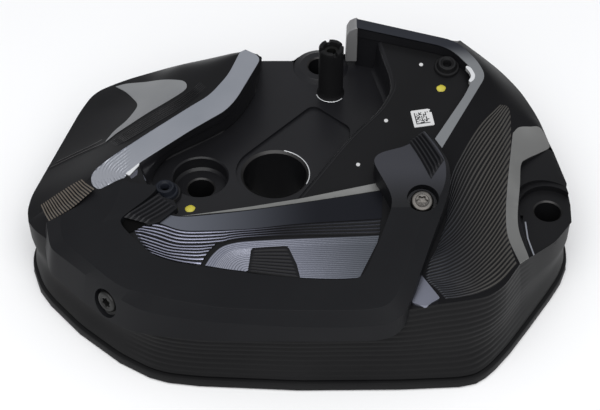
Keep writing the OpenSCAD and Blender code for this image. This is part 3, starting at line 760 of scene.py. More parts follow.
def bright_facets():
    """The re-milled silver surfaces."""
    left_band()
    front = chain(front_top, polyline([FRONT_TOP[-1], FRONT_LOW[-1]], 1.5), front_low[::-1])
    region("front_band_base", front, rim_height, spacing=3.0, lift=-0.1)
    facet("front_bright_band", front, rim_height, BRIGHT_WARM, 1.5)
    rim_end = polyline([RIM_IN[-1], RIM_OUT[-1]])
    rim = chain(rim_out, rim_back, rim_end[::-1], rim_in[::-1], polyline([RIM_IN[0], RIM_OUT[0]]))
    region("rim_base", rim, rim_height, spacing=3.0, lift=-0.1)
    facet("rim_bright_face", rim, rim_height, RIM_METAL)
    # A near-white lip on the rim's inner edge: a painted highlight where the edge catches the light.
    lip = [(97.6, 53.4), (99.8, 52), (101.6, 47.6), (101, 44.6), (98.8, 42.8), (98, 43.8), (99.6, 46.6),
           (98.8, 49.6), (96.9, 52.2)]
    facet("rim_lip_highlight", loop(lip, 1.2, 0.8, rim_height), rim_height, LIP_HIGHLIGHT_METAL, 1.0, lift=0.4, skirt=2.0)
    land = chain(land_in, polyline([LAND_IN[-1], RIM_OUT[0], FRONT_LOW[-1], LAND_IN[0]]))
    region("rim_land", land, rim_height, spacing=2.5)
    strip = chain(strip_top, strip_right, polyline([STRIP_RIGHT[-1], STRIP_LEFT[-1]], 1.5), strip_left[::-1])
    strip_height = height_through(STRIP_LEFT + STRIP_TOP[1:] + STRIP_RIGHT[1:])
    facet("right_bright_strip", strip, strip_height, BRIGHT_WARM)
    triangle = [(-84.5, 64.5), (-77.5, 64.8), (-64.6, 61.6), (-51.2, 53.8), (-46.8, 50.3), (-45.3, 46),
                (-46.8, 42.8), (-52.8, 38.6), (-62.4, 32.3), (-71.8, 25.5), (-79.7, 20.3), (-85.1, 15.3),
                (-81.4, 23), (-75.5, 29.6), (-71.5, 37.9), (-71.1, 42.7), (-73, 47.9), (-78, 56.9),
                (-84.5, 64.5)]
    facet("left_bright_triangle", at_height(chain(curve(triangle, 1.2)), LEFT), LEFT, DOME_METAL, lift=0.35)
    corner = [(68.7, -72.1, 48.1), (76.7, -86.8, 48.3), (69.9, -90.5, 47), (63.7, -88.2, 46.8)]
    outline = rounded(corner, 1.0, 1.5, closed=True)[:-1]
    facet("corner_bright_facet", outline, height_through(corner), CORNER_METAL, 1.5, lift=0.4, skirt=1.5)
    rim_end_block()


def rim_end_block():
    front = [(36.5, 49), (42.5, 49), (42.5, 71.9), (41, 71.6), (38.4, 70), (36.9, 66.8)]
    near = [(x, 77.6, z) for x, z in front]
    far = [(x, 85.0, z + (1.3 if z > 65 else 0)) for x, z in front]
    soften(piece("rim_end_block", near + far, prism_faces(len(front)), [END_FACE]), 0.5)


# ---------------------------------------------------------------- recess

def recess():
    """Floor, wing, walls and seats inside the rim."""
    wing_foot = at_height(wing_left, FLOOR_Z)
    boss_front = at_height(arc(BACK_HOLE, 14.5, 175, 365, 24), FLOOR_Z)
    back = polyline([SH_LEFT[0], SH_BACK[-2]])
    pocket_edge = at_height([(38, 80.3), (42.5, 84), (52, 80), (54.2, 77)], FLOOR_Z)
    outline = chain(foot, back, boss_front, polyline(pocket_edge),
                    wing_foot[::-1], polyline(floor_front))
    sunk = chain(arc((0, 0), 19.5, 135, 270, 30), polyline([(0, -19.5), (12, -19.5), (38, 16.5), (38, 29)]),
                 arc((32, 30), 6, 0, 45, 6), polyline([(36.2, 34.2), (22.5, 46.8)]),
                 arc((19.5, 43.4), 4.5, 48, 138, 8), polyline([(16, 46.3), (-13.8, 13.8)]))
    region("recess_floor", outline, level(FLOOR_Z), spacing=3.0, material=RECESS_BLACK,
           holes=[circle(LEFT_HOLE, SPOT_R), sunk])
    region("recess_sunk_floor", at_height(sunk, PLUG_Z), level(PLUG_Z), material=RECESS_BLACK,
           holes=[circle((0, 0), TUNNEL_R + TUNNEL_EDGE)])
    ring = np.vstack([sunk, sunk[:1]])
    sheet("recess_step", [at_height(ring, z) for z in (FLOOR_Z, FLOOR_Z - 0.4, PLUG_Z)], 7)
    corner = at_height(FRONT_TOP[-3:], wing_height)
    wing_out = np.vstack([land_in, rim_in[1:]])
    wing_out = wing_out[wing_out[:, 0] > 60]
    wing = chain(wing_left[::-1], polyline([wing_left[0], corner[0]]), polyline(corner),
                 at_height(land_in, wing_height), at_height(wing_out, wing_height),
                 polyline(at_height([(54.2, 74.8), (54.2, 77)], wing_height)))
    region("wing_face", wing, wing_height, spacing=3.0, material=WING_BLACK)
    recess_walls()


WALL_PROFILE = [(0, 0), (0.03, 0.02), (0.09, 0.22), (0.13, 0.33), (0.2, 0.38), (0.34, 0.4), (0.4, 0.44),
                (0.46, 0.6), (0.52, 0.76), (0.6, 0.88), (0.72, 0.95), (0.86, 0.99), (1, 1)]


def recess_walls():
    count = 160
    top = spread(joined(band_low, polyline([BAND_LOW[-1], (-8, 84, 44.5)])), count)
    low = spread(foot, count)
    net = np.array([top + (low - top) * (out, out, down) for out, down in WALL_PROFILE])
    piece("recess_left_wall", net.reshape(-1, 3), grid_faces(len(net), count), [RECESS_BLACK])
    notch_foot = polyline([(-60, -14), (-60, -14.5), (-59, -20), (-52, -31.5), (-45, -36.2)])
    notch_foot = at_height(notch_foot, FLOOR_Z)
    sheet("recess_notch_wall", [notch, notch_foot], 8, count=40)
    front_foot = polyline(np.vstack([floor_front[4:0:-1],
                                     [(12.5, -26.5, 45.8), (50.4, -17.4, 47.5), (51.5, -14.5, 48.1)]]))
    sheet("recess_front_wall", [front_top, front_foot], 8, count=80)
    inner = joined(land_in, rim_in)
    rim_wall = [inner, at_height(inner, lambda q: wing_height(q) + 0.3)]
    sheet("rim_inner_wall", rim_wall, 10)
    wing_side()
    back_top = polyline([RIM_IN[-1], (56, 74.3, 71.0)])
    back_low = at_height(polyline([(42, 80.6), (56, 76.6)]), FLOOR_Z)
    sheet("pocket_back_wall", [back_top, back_low], 8, count=12)


def wing_side():
    """The wing's left edge, rounded over, and the wall below it."""
    edge = wing_left
    direction = np.gradient(edge[:, :2], axis=0)
    direction /= np.linalg.norm(direction, axis=1)[:, None]
    out = np.column_stack([-direction[:, 1], direction[:, 0], np.zeros(len(edge))])
    rows = []
    for a in np.linspace(0, 90, 8):
        r = 3.0
        row = edge + out * (r * math.sin(math.radians(a)) - 1.2)
        row[:, 2] -= r * (1 - math.cos(math.radians(a))) - 0.02
        rows.append(row)
    for down, further in ((0.5, 0.2), (0.8, 0.5), (0.93, 1.2), (1.0, 2.6)):
        row = rows[7].copy()
        row[:, 2] += (FLOOR_Z - row[:, 2]) * down
        rows.append(row + out * further)
    net = np.array(rows)
    piece("wing_left_wall", net.reshape(-1, 3), grid_faces(len(net), len(edge), flip=True), [RECESS_BLACK])


def rings_at(centre, rings):
    """Vertices of level rings of (r, z) round a centre."""
    unit = circle(centre, 1.0) - np.array(centre)
    return np.vstack([at_height(np.array(centre) + unit * r, z) for r, z in rings])


def bore(name, centre, r, top, bottom, edge, material=RECESS_BLACK, mouth=RECESS_BLACK):
    """Wall of a round hole, with a small chamfer at its mouth."""
    verts = rings_at(centre, [(r + edge, top), (r, top - edge), (r, bottom)])
    return piece(name, verts, grid_faces(3, HOLE_SIDES, closed=True, flip=True), [material, mouth],
                 face_material=[1] * HOLE_SIDES + [0] * HOLE_SIDES)


def worn_glints():
    """Thin near-white arcs on sharp round edges: bare metal where the coating has worn off, made near-white
    as a painted highlight.
    """
    arcs = [("tunnel_edge_glint", (0, 0), TUNNEL_R + 1.1, -25, 75, PLUG_Z),
            ("post_foot_glint", POST_AT, 7.3, 195, 320, FLOOR_Z)]
    for name, centre, r, first, last, z in arcs:
        rails = [arc(centre, r, first, last, 9), arc(centre, r + 0.5, first, last, 9)]
        ribbed(name, rails, level(z), 1, rise=0.1, lift=0.05, duty=0.8, count=40,
               looks=(LIP_HIGHLIGHT_METAL, LIP_HIGHLIGHT_METAL))


def level_ring(name, centre, outer, z):
    """A seat round a cover bolt hole."""
    verts = rings_at(centre, [(outer, z), (BOLT_HOLE_R + BOLT_EDGE, z)])
    return piece(name, verts, grid_faces(2, HOLE_SIDES, closed=True), [RECESS_BLACK])


def holes():
    bore("plug_tunnel_wall", (0, 0), TUNNEL_R, PLUG_Z, 0, TUNNEL_EDGE, BLACK, BORE_EDGE)
    cover_bolts = (("left", LEFT_HOLE, SEAT_Z), ("right", RIGHT_HOLE, SEAT_Z), ("back", BACK_HOLE, BOSS_Z))
    for side, centre, top in cover_bolts:
        bore(side + "_bolt_bore", centre, BOLT_HOLE_R, top, 0, BOLT_EDGE, BLACK, BORE_EDGE)
    bore("left_spot_wall", LEFT_HOLE, SPOT_R - 0.7, FLOOR_Z, SEAT_Z + 1.2, 0.7)
    bore("left_spot_fillet", LEFT_HOLE, SPOT_R - 1.9, SEAT_Z + 1.2, SEAT_Z, 1.2)
    level_ring("left_spot_seat", LEFT_HOLE, SPOT_R - 1.9, SEAT_Z)
    level_ring("back_boss_seat", BACK_HOLE, 11.0, BOSS_Z)
    profile = [(11, BOSS_Z), (11.8, BOSS_Z - 0.4), (14.5, FLOOR_Z - 0.5)]
    rails = [at_height(arc(BACK_HOLE, r, 0, 360, HOLE_SIDES + 1), z) for r, z in profile]
    sheet("back_boss_side", rails, 7)


def right_pad():
    """Pad and stepped seat round the right bolt hole."""
    def pad_height(q):
        return 42.2 - 0.13 * (np.asarray(q)[:, 0] - 122)

    left = strip_right[::-1]
    left = left[left[:, 1] < 20.5]
    outer = arc(RIGHT_HOLE, SPOT_R + 2.6, 52, 200, 50)
    low = [(118.8, -25.3), (120.2, -45), (120.7, -57.8)]
    top = chain(at_height(left, pad_height), polyline([STRIP_RIGHT[1], SH_PAD[-1]]),
                polyline([SH_PAD[-1], (145.6, -3, 38.6)]), at_height(outer, pad_height),
                at_height(polyline(low), pad_height))
    region("right_pad_face", top, pad_height, spacing=2.5)
    wall_low = strip_right.copy()
    wall_low[:, 2] = np.minimum(pad_height(wall_low), wall_low[:, 2])
    sheet("right_strip_step", [strip_right, wall_low], 4, BLACK, flip=True)
    ledge_z = 39.2
    mid = arc(RIGHT_HOLE, SPOT_R, 40, 205, 50)
    sheet("right_outer_step", [at_height(outer, pad_height), at_height(outer, ledge_z)], 3, BLACK)
    sheet("right_step_ledge", [at_height(outer, ledge_z), at_height(mid, ledge_z)], 3, BLACK)
    sheet("right_inner_step", [at_height(mid, ledge_z), at_height(mid, SEAT_Z)], 4, BLACK)
    seat = chain(arc(RIGHT_HOLE, SPOT_R + 0.2, 35, 205, 50),
                 polyline([(121.6, -25.6), (121.8, -38), (124.5, -53.5)]),
                 polyline([(124.5, -53.5), (136, -41), (145.5, -27), (146.3, -15), (146, -11)]))
    region("right_seat_face", at_height(seat, SEAT_Z), level(SEAT_Z), spacing=2.5,
           holes=[circle(RIGHT_HOLE, BOLT_HOLE_R + BOLT_EDGE)])
    side_top = at_height(polyline(low, 1.0), pad_height)
    side_low = polyline([(121.6, -25.6, SEAT_Z), (121.8, -38, SEAT_Z), (124.5, -53.5, SEAT_Z)])
    sheet("right_seat_side", [side_top, side_low], 4, BLACK, count=24)
    # A thin strip of bright metal on the seat's edge: a painted highlight.
    glint = at_height(polyline([(122.5, -27, 0), (122.6, -38, 0), (125.0, -52.0, 0)]), SEAT_Z + 0.25)
    inner = glint + np.array([0.7, 0.1, 0])
    sheet("right_seat_edge_highlight", [glint, inner], 2, BRIGHT, flip=True)


# ---------------------------------------------------------------- grooved and ribbed zones

def right_slope_grooves():
    slope = [[(114, 36), (102, 19.6), (92, 1), (86, -13), (82.5, -33)],
             [(119.2, 36), (107.9, 14.7), (96.6, -6.3), (88.6, -24.1), (82, -39.6)],
             [(118.8, 18.4), (107, -6.3), (95.5, -29.8), (86.2, -45.8), (77.1, -55.7)],
             [(114.9, -9.4), (105.4, -27.4), (94.2, -47.4), (84, -58.6), (72.9, -64)],
             [(111.9, -32.7), (102.6, -50), (92.1, -64), (82.3, -70.5), (71, -73.9)],
             [(112.1, -50.9), (102.8, -64.5), (92.7, -75.1), (83.2, -79), (75.3, -79.9)],
             [(114.2, -64), (105, -77), (95.3, -83.2), (85.8, -86), (79.3, -86.6)]]
    ribbed("right_slope_grooves", slope, RIGHT, 31, duty=0.55, count=110, per=8, looks=(TAN_RIDGE, BLACK),
           fade=(0.14, 0.02))


def front_strip():
    low = [(-70, -38.6), (-61, -40.4), (-54.4, -40.8), (-44.7, -44.4), (-35.1, -45.1), (-11.3, -44.2),
           (12.5, -41.4), (51.5, -38.9)]
    top = [(-62, -33.5), (-58, -33.8), (-51, -35.6), (-44.6, -36.7), (-35, -36.2), (-11.5, -33.3),
           (12.5, -29.3), (52.5, -22)]
    # The strip's colour fades from blue-grey to near black: a painted reflection.
    ribbed("front_blue_strip", [top, low], FRONT, 1, rise=0.0, lift=0.25, count=90, per=6,
           looks=(STRIP_REFLECTION, STRIP_REFLECTION))


def front_ribs():
    long_ribs = [[(-67, -40.6), (-54.4, -41.6), (-44.7, -44.9), (-35.1, -45.6), (-11.3, -44.6),
                  (12.5, -42), (51, -39.4)],
                 [(-66.2, -45.4), (-56.5, -48.6), (-46, -52.6), (-34.6, -53.2), (-24, -52.2),
                  (-20.7, -51.1), (-11.2, -49.7), (12.5, -48.5), (50.4, -48)]]
    ribbed("front_long_ribs", long_ribs, FRONT, 4, rise=0.7, lift=0.15, looks=(RIB_FADE, BLACK),
           fade=(0.03, 0.0))
    short_ribs = [[(-66, -45.8), (-56.5, -49), (-46, -53), (-36, -53.6), (-27, -52.9)],
                  [(-62.6, -51.6), (-56, -54.6), (-48.5, -57.4), (-37, -58.8), (-31, -58.2)],
                  [(-58, -57.6), (-53.5, -59.8), (-49, -61.8), (-43, -63.8), (-34.3, -65.6)]]
    ribbed("front_short_ribs", short_ribs, FRONT, 6, rise=0.7, lift=0.15, count=60,
           looks=(RIB_FADE, BLACK), fade=(0.04, 0.0))


def bright_panel():
    """Fine lines that rise from the left, bend over the dark ribs and run to the right."""
    over = [[(-32, -65.4), (-28.9, -59.7), (-24.8, -55.1), (-19.7, -52.9), (-13.5, -51.8), (-1.7, -51),
             (12.5, -50.3), (31.5, -49.6), (50, -48.9)],
            [(-27.4, -66.4), (-25, -61.6), (-21.6, -58), (-17.6, -56.4), (-12.6, -55.8), (-1.7, -55),
             (12.5, -54.3), (31.5, -53.6), (49, -53.2)]]
    fading = (PANEL_RIGHT, PANEL_RIGHT_LOW)
    ribbed("panel_lines_over", over, FRONT, 4, rise=0.07, lift=0.35, duty=0.66, per=8,
           looks=fading)
    left = [over[1][:5] + [(-10, -55.6)],
            [(-21.6, -67.6), (-20.2, -64.4), (-18.2, -62.2), (-15.6, -60.9), (-13, -60.4), (-10.6, -60.4)],
            [(-12.6, -69), (-12.5, -68.8), (-12.4, -68.6), (-12.2, -68.5), (-12, -68.5), (-11.6, -68.6)]]
    ribbed("panel_lines_left", left, FRONT, 13, rise=0.07, lift=0.35, duty=0.66, count=50, per=8,
           looks=(PANEL_LINE, PANEL_GROOVE))
    right = [[(6.6, -54.6), (12.5, -54.3), (31.5, -53.6), (49, -53.2)],
             [(9.4, -64), (20, -64), (32, -63.6), (44.6, -63)],
             [(12.5, -72.6), (22, -73.2), (32, -73.4), (40.2, -72.9)]]
    ribbed("panel_lines_right", right, FRONT, 18, rise=0.05, lift=0.35, duty=0.66, count=60, per=8,
           looks=fading)
    dark = [(-10.6, -56.6), (-9.2, -55.7), (-4, -55.2), (5.6, -54.6), (7.2, -55.8), (11, -65.2),
            (12.7, -73.4), (0, -71.6), (-12, -69.6), (-11.2, -63.3)]
    region("panel_dark_patch", loop(dark, 0.8, 1.2, FRONT), FRONT, spacing=1.6, lift=0.55, skirt=0.6)
    ribs = [[(-9.6, -56.6), (-2, -55.9), (6.4, -55.6)],
            [(-10.6, -63), (0, -63.8), (9.6, -64.5)],
            [(-11.4, -69.2), (0, -71), (11.8, -72.8)]]
    ribbed("panel_dark_ribs", ribs, FRONT, 8, rise=0.4, lift=0.62, count=40,
           looks=(DARK_RIDGE, BLACK), fade=(0.05, 0.05))


def grooved_zones():
    right_slope_grooves()
    front_strip()
    front_ribs()
    bright_panel()
    lines = [[(-82.6, 13.4), (-71.4, 21.6), (-61.7, 29), (-51.9, 35.5), (-43.5, 41.9), (-38.5, 47.1)],
             [(-78.6, 7.2), (-67.8, 13.8), (-58.2, 20.6), (-48.5, 27.6), (-40.3, 35.6), (-34.8, 41.6)]]
    ribbed("left_dome_lines", lines, LEFT, 5, rise=0.6, lift=0.05, duty=0.6, count=90,
           looks=(BLACK, RECESS_BLACK), fade=(0.12, 0.12))
    # The crease's crest gets a lighter grey: a painted highlight.
    crease = [[(-109.5, 13.4), (-101.3, 15.4), (-93.2, 18), (-88.5, 21)],
              [(-115.4, 7.8), (-100.4, 10.6), (-89, 12.2), (-84, 13.8)]]
    ribbed("left_dome_crease", crease, LEFT, 2, rise=0.35, lift=0.06, duty=0.16, count=60, per=12,
           looks=(CREASE_HIGHLIGHT, BLACK), fade=(0.02, 0.25))
    tan = [[(-115.2, -19), (-109.6, -31.4)],
           [(-105.1, -17.2), (-97.2, -29.8)],
           [(-93.6, -14.3), (-86.4, -23.6)]]
    ribbed("left_tan_grooves", tan, lambda q: np.maximum(LEFT(q), FRONT(q)), 18, rise=0.45, lift=0.15,
           count=24, per=8, looks=(TAN_BRIGHT, BLACK), fade=(0.35, 0.1))


# ---------------------------------------------------------------- impact guard

def under(x, y):
    """Height of the cover's front slope."""
    return 54.65 + 0.115 * y + 0.0117 * x


def guard_section(inner, outer, side, low, crown, thick):
    """One cross-section of the guard: inner edge, top, outer edge, side, and closed underneath."""
    i, o = np.array(inner, float), np.array(outer, float)
    middle = crown if np.ndim(crown) else (i + o) / 2 + (0, 0, crown)
    foot_z = under(i[0], i[1]) - 1.2 if thick is None else i[2] - thick
    b = np.array(low, float)
    back = b + (i - b) * (0.06, 0.06, 0)
    return [(i[0], i[1], foot_z), i, middle, o, side, b, back]


def guard_sections():
    """Cross-sections of the guard from its upper left edge along the front and up the arm."""
    rows = [
        ((-57, -21.4, 55.9), (-103, -33, 47), (-110.6, -32.2, 41.5), (-112.6, -33.4, 30), (-73.5, -19, 57)),
        ((-56.4, -24.6, 55.2), (-102.6, -38, 46), (-109.4, -38, 40.4), (-111.4, -40, 27),
         (-75.5, -29.5, 55.4)),
        ((-69.8, -37.6, 54), (-101.8, -44, 44.8), (-107.8, -45.4, 39.3), (-109.8, -47.4, 24.6),
         (-78.5, -39.8, 53.6)),
        ((-73.6, -41.6, 53.4), (-99.5, -48, 44.8), (-105.8, -48.6, 39.1), (-107.8, -50.8, 24),
         (-86, -44.8, 50)),
        ((-71.6, -46, 52.9), (-94, -54, 45.2), (-101, -53, 39.2), (-103, -55.5, 24), 0.5),
        ((-65.4, -52.6, 51.7), (-82.6, -66.4, 46), (-88.5, -65, 39.7), (-90.8, -68.2, 24.2), 0.5),
        ((-57.8, -60.5, 50.5), (-71, -78.6, 47), (-77.4, -75.4, 40.3), (-79.6, -79, 24.8), 0.5),
        ((-52, -63.8, 50.2), (-61, -83, 48.1), (-68.5, -83, 41), (-71.6, -86, 26.4), 0.5),
        ((-44, -66.5, 50), (-49, -87.4, 49), (-58, -90.4, 42.1), (-59.4, -93.2, 30), 0.5),
        ((-31.7, -69, 50), (-31.5, -91.7, 49.4), (-33, -95.3, 42.6), (-35, -98.3, 32), 0.5),
        ((-19, -71.2, 50), (-19.3, -94, 49.5), (-19.4, -97.2, 43), (-19, -99.4, 33), 0.5),
        ((12.5, -77, 50.5), (12, -95, 49.5), (12, -99.5, 42.8), (12, -100.6, 34), 0.5),
        ((34, -77.6, 50.9), (38, -95.4, 50), (38, -99.8, 43.2), (38, -100.7, 34.3), 0.5),
        ((39.6, -76.8, 51.3), (51, -94.6, 50.6), (53, -99.4, 44.5), (53, -100.4, 34.6), 0.4),
        ((42.4, -74.2, 51.8), (56.4, -89.4, 52.2), (60.8, -95.2, 47.5), (60.6, -96.4, 38), 0.4),
        ((44.6, -69.2, 52.6), (59.8, -80, 54.4), (64.9, -84.6, 51), (65.3, -85.6, 42), 0.3),
        ((46.6, -64, 53.3), (62.8, -70.6, 56.2), (68.6, -73.4, 53), (68.8, -74, 44), 0.3),
        ((49.8, -56.4, 55), (66, -60, 58.2), (72.6, -61.6, 54.6), (72.6, -62, 46), 0.3),
        ((52.8, -48.2, 57.2), (69.3, -49.6, 60), (77.2, -48.7, 57), (77.2, -49.2, 48), 0.2),
        ((57.2, -36.4, 60.4), (77.4, -38.5, 62), (81.4, -37.5, 59.6), (81.6, -38, 50), 0.2),
        ((54.4, -28.6, 62.2), (82.4, -26.5, 63.2), (85, -25.5, 61.4), (85, -26, 51), 0.2),
        ((49.2, -18.6, 65), (83, -15.5, 64.6), (84.8, -14.6, 63), (84.8, -15, 54), 0.1),
        ((47.5, -14, 66), (81.6, -10, 65.2), (83.4, -9, 63.4), (83.4, -9.4, 55), 0.1),
        ((50.5, -9.5, 66.8), (79.6, -5.2, 65.5), (81.2, -4, 63.6), (81.2, -4.4, 55.6), 0.1),
        ((62, -6.2, 66.8), (76.6, 0.8, 65.7), (78, 2.2, 63.8), (78, 1.8, 56.6), 0.1),
        ((67.4, -2.2, 66.4), (74.6, 5, 65.6), (75.6, 6.8, 63.8), (75.4, 6.4, 57), 0),
        ((71.2, 4.4, 66), (73.4, 6.6, 65.6), (73.8, 8, 64.2), (73.4, 7.6, 57.4), 0)]
    return [guard_section(*row, 10.5 if k > 19 else None) for k, row in enumerate(rows)]


def six_lobe(r, sides=48):
    """Plan outline of a six-lobe socket."""
    a = 2 * math.pi * np.arange(sides) / sides
    return r * (0.86 + 0.14 * np.cos(6 * a))[:, None] * np.column_stack([np.cos(a), np.sin(a)])


def bolt_frame(which):
    """Turns a piece built along +Z onto a guard bolt's axis."""
    if which == "arm":
        turn = Matrix.Rotation(math.radians(ARM_BOLT_TILT), 4, "X")
        at = ARM_BOLT_AT
    else:
        turn = Matrix.Rotation(math.radians(SIDE_BOLT_AZ), 4, "Z") @ Matrix.Rotation(
            math.radians(90 - SIDE_BOLT_EL), 4, "Y")
        at = SIDE_BOLT_AT
    return Matrix.Translation(at) @ turn


def turned(profile, sides=48):
    """Vertices and faces of a profile of (r, z) turned about +Z; r may be an outline per ring."""
    rings = [at_height(r if np.ndim(r) else circle((0, 0), r, sides), z) for r, z in profile]
    return np.vstack(rings), grid_faces(len(profile), sides, closed=True)


def placed(verts, matrix):
    return [tuple(matrix @ Vector(v)) for v in verts]


def guard_bolt(which):
    lobes = six_lobe(2.75)
    profile = [(0.01, -18), (2.6, -18), (3.0, -17.4), (3.0, 0), (5.3, 0), (5.5, 0.25), (5.5, 2.3),
               (5.3, 2.9), (4.8, 3.3), (4.3, 3.4), (3.4, 3.4), (3.2, 3.2), (2.95, 3.15), (lobes, 3.0),
               (lobes * 0.97, 1.0), (lobes * 0.01, 0.7)]
    verts, faces = turned(profile)
    return piece(which + "_bolt_body", placed(verts, bolt_frame(which)), faces,
                 [STEEL if which == "arm" else DARK_STEEL],
                 replaces=[which + "_bolt"])


def apply_modifiers(obj):
    depsgraph = bpy.context.evaluated_depsgraph_get()
    depsgraph.update()
    mesh = bpy.data.meshes.new_from_object(obj.evaluated_get(depsgraph))
    obj.modifiers.clear()
    obj.data = mesh


def bevel_edges(obj, width, segments, limit):
    bevel = obj.modifiers.new("edges", "BEVEL")
    bevel.width = width * MM
    bevel.segments = segments
    bevel.angle_limit = math.radians(limit)


def flatten_shading(obj):
    """Keeps flat faces looking flat, and applies the modifiers so far."""
    shade = obj.modifiers.new("shading", "WEIGHTED_NORMAL")
    shade.keep_sharp = True
    apply_modifiers(obj)


def soften(obj, width):
    bevel_edges(obj, width, 3, 20)
    flatten_shading(obj)


def cut_bolt_recesses(obj):
    cutters = []
    for which in ("arm", "side"):
        v, f = turned([(7.2, -0.3), (7.5, 6), (9.7, 30)], 64)
        f += [range(64)[::-1], range(len(v) - 64, len(v))]
        mesh = bpy.data.meshes.new("cutter")
        mesh.from_pydata([tuple(Vector(p) * MM) for p in placed(v, bolt_frame(which))], [], f)
        mesh.materials.append(PLASTIC)
        cutter = bpy.data.objects.new("cutter", mesh)
        bpy.context.scene.collection.objects.link(cutter)
        cut = obj.modifiers.new("bolt_recess", "BOOLEAN")
        cut.operation = "DIFFERENCE"
        cut.solver = "EXACT"
        cut.object = cutter
        cutters.append(cutter)
    apply_modifiers(obj)
    for cutter in cutters:
        bpy.data.objects.remove(cutter)


def closer_sections(sections, parts=4, passes=5):
    """More cross-sections between the given ones, with the corners of the rails rounded off."""
    s = np.array(sections, float)
    steps = np.linspace(0, len(s) - 1, parts * (len(s) - 1) + 1)
    low = np.minimum(steps.astype(int), len(s) - 2)
    t = (steps - low)[:, None, None]
    fine = s[low] * (1 - t) + s[low + 1] * t
    for _ in range(passes):
        fine[1:-1] = (fine[:-2] + 2 * fine[1:-1] + fine[2:]) / 4
    return fine


def guard():
    sections = guard_sections()
    n = len(sections[0])
    fine = closer_sections(sections)
    verts = fine.reshape(-1, 3)
    faces = grid_faces(len(fine), n, closed=True, flip=True)
    faces.append(tuple(range(n)))
    faces.append(tuple(range(len(verts) - n, len(verts)))[::-1])
    obj = piece("guard_shell", verts, faces, [PLASTIC], replaces=["impact_guard"])
    bevel_edges(obj, 1.9, 4, 13)
    apply_modifiers(obj)
    cut_bolt_recesses(obj)
    obj.data.set_sharp_from_angle(angle=math.radians(SHARP_ANGLE))
    flatten_shading(obj)
    paint_block_top_sheen(obj)
    guard_finger()
    block_ribs(sections)


def paint_block_top_sheen(obj):
    """The block's flat top gets a smoother, paler copy of the guard plastic, paler towards the back: a
    painted sheen where the top catches the light.
    """
    obj.data.materials.append(PLASTIC_TOP_SHEEN)
    for face in obj.data.polygons:
        x, y, _ = face.center / MM
        if y > -40 and x > 44 and face.normal.z > 0.9:
            face.material_index = len(obj.data.materials) - 1


def finger_height(q):
    q = np.asarray(q, float)
    return 53 - 0.0843 * (q[:, 0] + 76.5) + 0.1835 * (q[:, 1] + 40.6)


def guard_finger():
    ribbed_part = [(-73, -39.8), (-69.6, -38.2), (-64.8, -39), (-59.8, -43.2), (-54.4, -40.8),
                   (-46.1, -32.2), (-48.1, -28.2), (-54.2, -26.4), (-55.4, -24.2), (-69.4, -37)]
    up = at_height(ribbed_part, finger_height)
    block = piece("guard_finger_base", np.vstack([up, up - (0, 0, 4)]), prism_faces(len(up)), [PLASTIC])
    soften(block, 0.6)
    rails = [[(-72.2, -39.4), (-64, -32.6), (-55.6, -25.2)], [(-60.2, -42.4), (-53, -37.2), (-46.9, -31.9)]]
    ribbed("guard_finger_ribs", rails, finger_height, 5, rise=1.0, lift=0.04,
           looks=(PLASTIC_RIB, PLASTIC), count=40, fade=(0.14, 0.06))
    pit = [(-75, -41), (-70.2, -37.8), (-65, -38.6), (-60.5, -42), (-65.4, -45), (-71, -46.6)]
    outline = at_height(loop(pit, 1.5, 1.5, 0), FRONT)
    region("guard_pit_shadow", outline, FRONT, spacing=2.0, lift=0.9, material=PIT)


def block_ribs(sections):
    top = [p for s in sections[18:] for p in (s[1], s[2], s[3])]
    surface = height_through(top)
    rails = [[(65.3, -2), (70.2, -12.4), (75.2, -24.6)], [(73, 5.8), (77.6, -3.8), (82, -13.2)]]
    ribbed("guard_block_ribs", rails, surface, 5, rise=1.2, lift=0.1, looks=(PLASTIC_RIB, PLASTIC),
           count=50, fade=(0.05, 0.12))


# ---------------------------------------------------------------- small parts

def on_wing(x, y):
    z = WING_Z + math.tan(RIM_TILT) * y
    return Matrix.Translation((x, y, z)) @ Matrix.Rotation(RIM_TILT, 4, "X")


def grommet(name, matrix, node, material):
    profile = [(2.2, 0), (6.4, 0), (6.4, 1.1), (6.1, 1.5), (5.4, 1.6), (5, 1.35), (4.8, 1.7), (4.7, 3.4),
               (4.4, 4), (3.9, 4.2), (3.4, 4.1), (3, 3.6), (2.7, 3.3), (2.4, 3.4), (2.2, 3.1), (2.2, 0)]
    verts, faces = turned(profile)
    return piece(name, placed(verts, matrix), faces, [material], replaces=[node])


def post():
    sides = 96
    profile = [(5, 41.2), (6.9, 43.9), (7.2, 44.3), (6.6, 45.2), (6.4, 46.2), (6.4, 72.6), (6.4, 74.4),
               (6.2, 74.8), (5.8, 75), (4.7, 75), (4.3, 74.7), (4.2, 74.2), (4.2, 58), (0.01, 58)]
    verts, faces = turned(profile, sides)
    moved = []
    for k, (x, y, z) in enumerate(verts):
        angle = 360 * (k % sides) / sides
        in_notch = min(abs((angle - a + 180) % 360 - 180) for a in (20, 110, 200, 290)) < 10
        moved.append((x + POST_AT[0], y + POST_AT[1], min(z, 73.0) if in_notch else z))
    return piece("coil_post_body", moved, faces, [BLACK_SIDE], replaces=["coil_cover_post"])


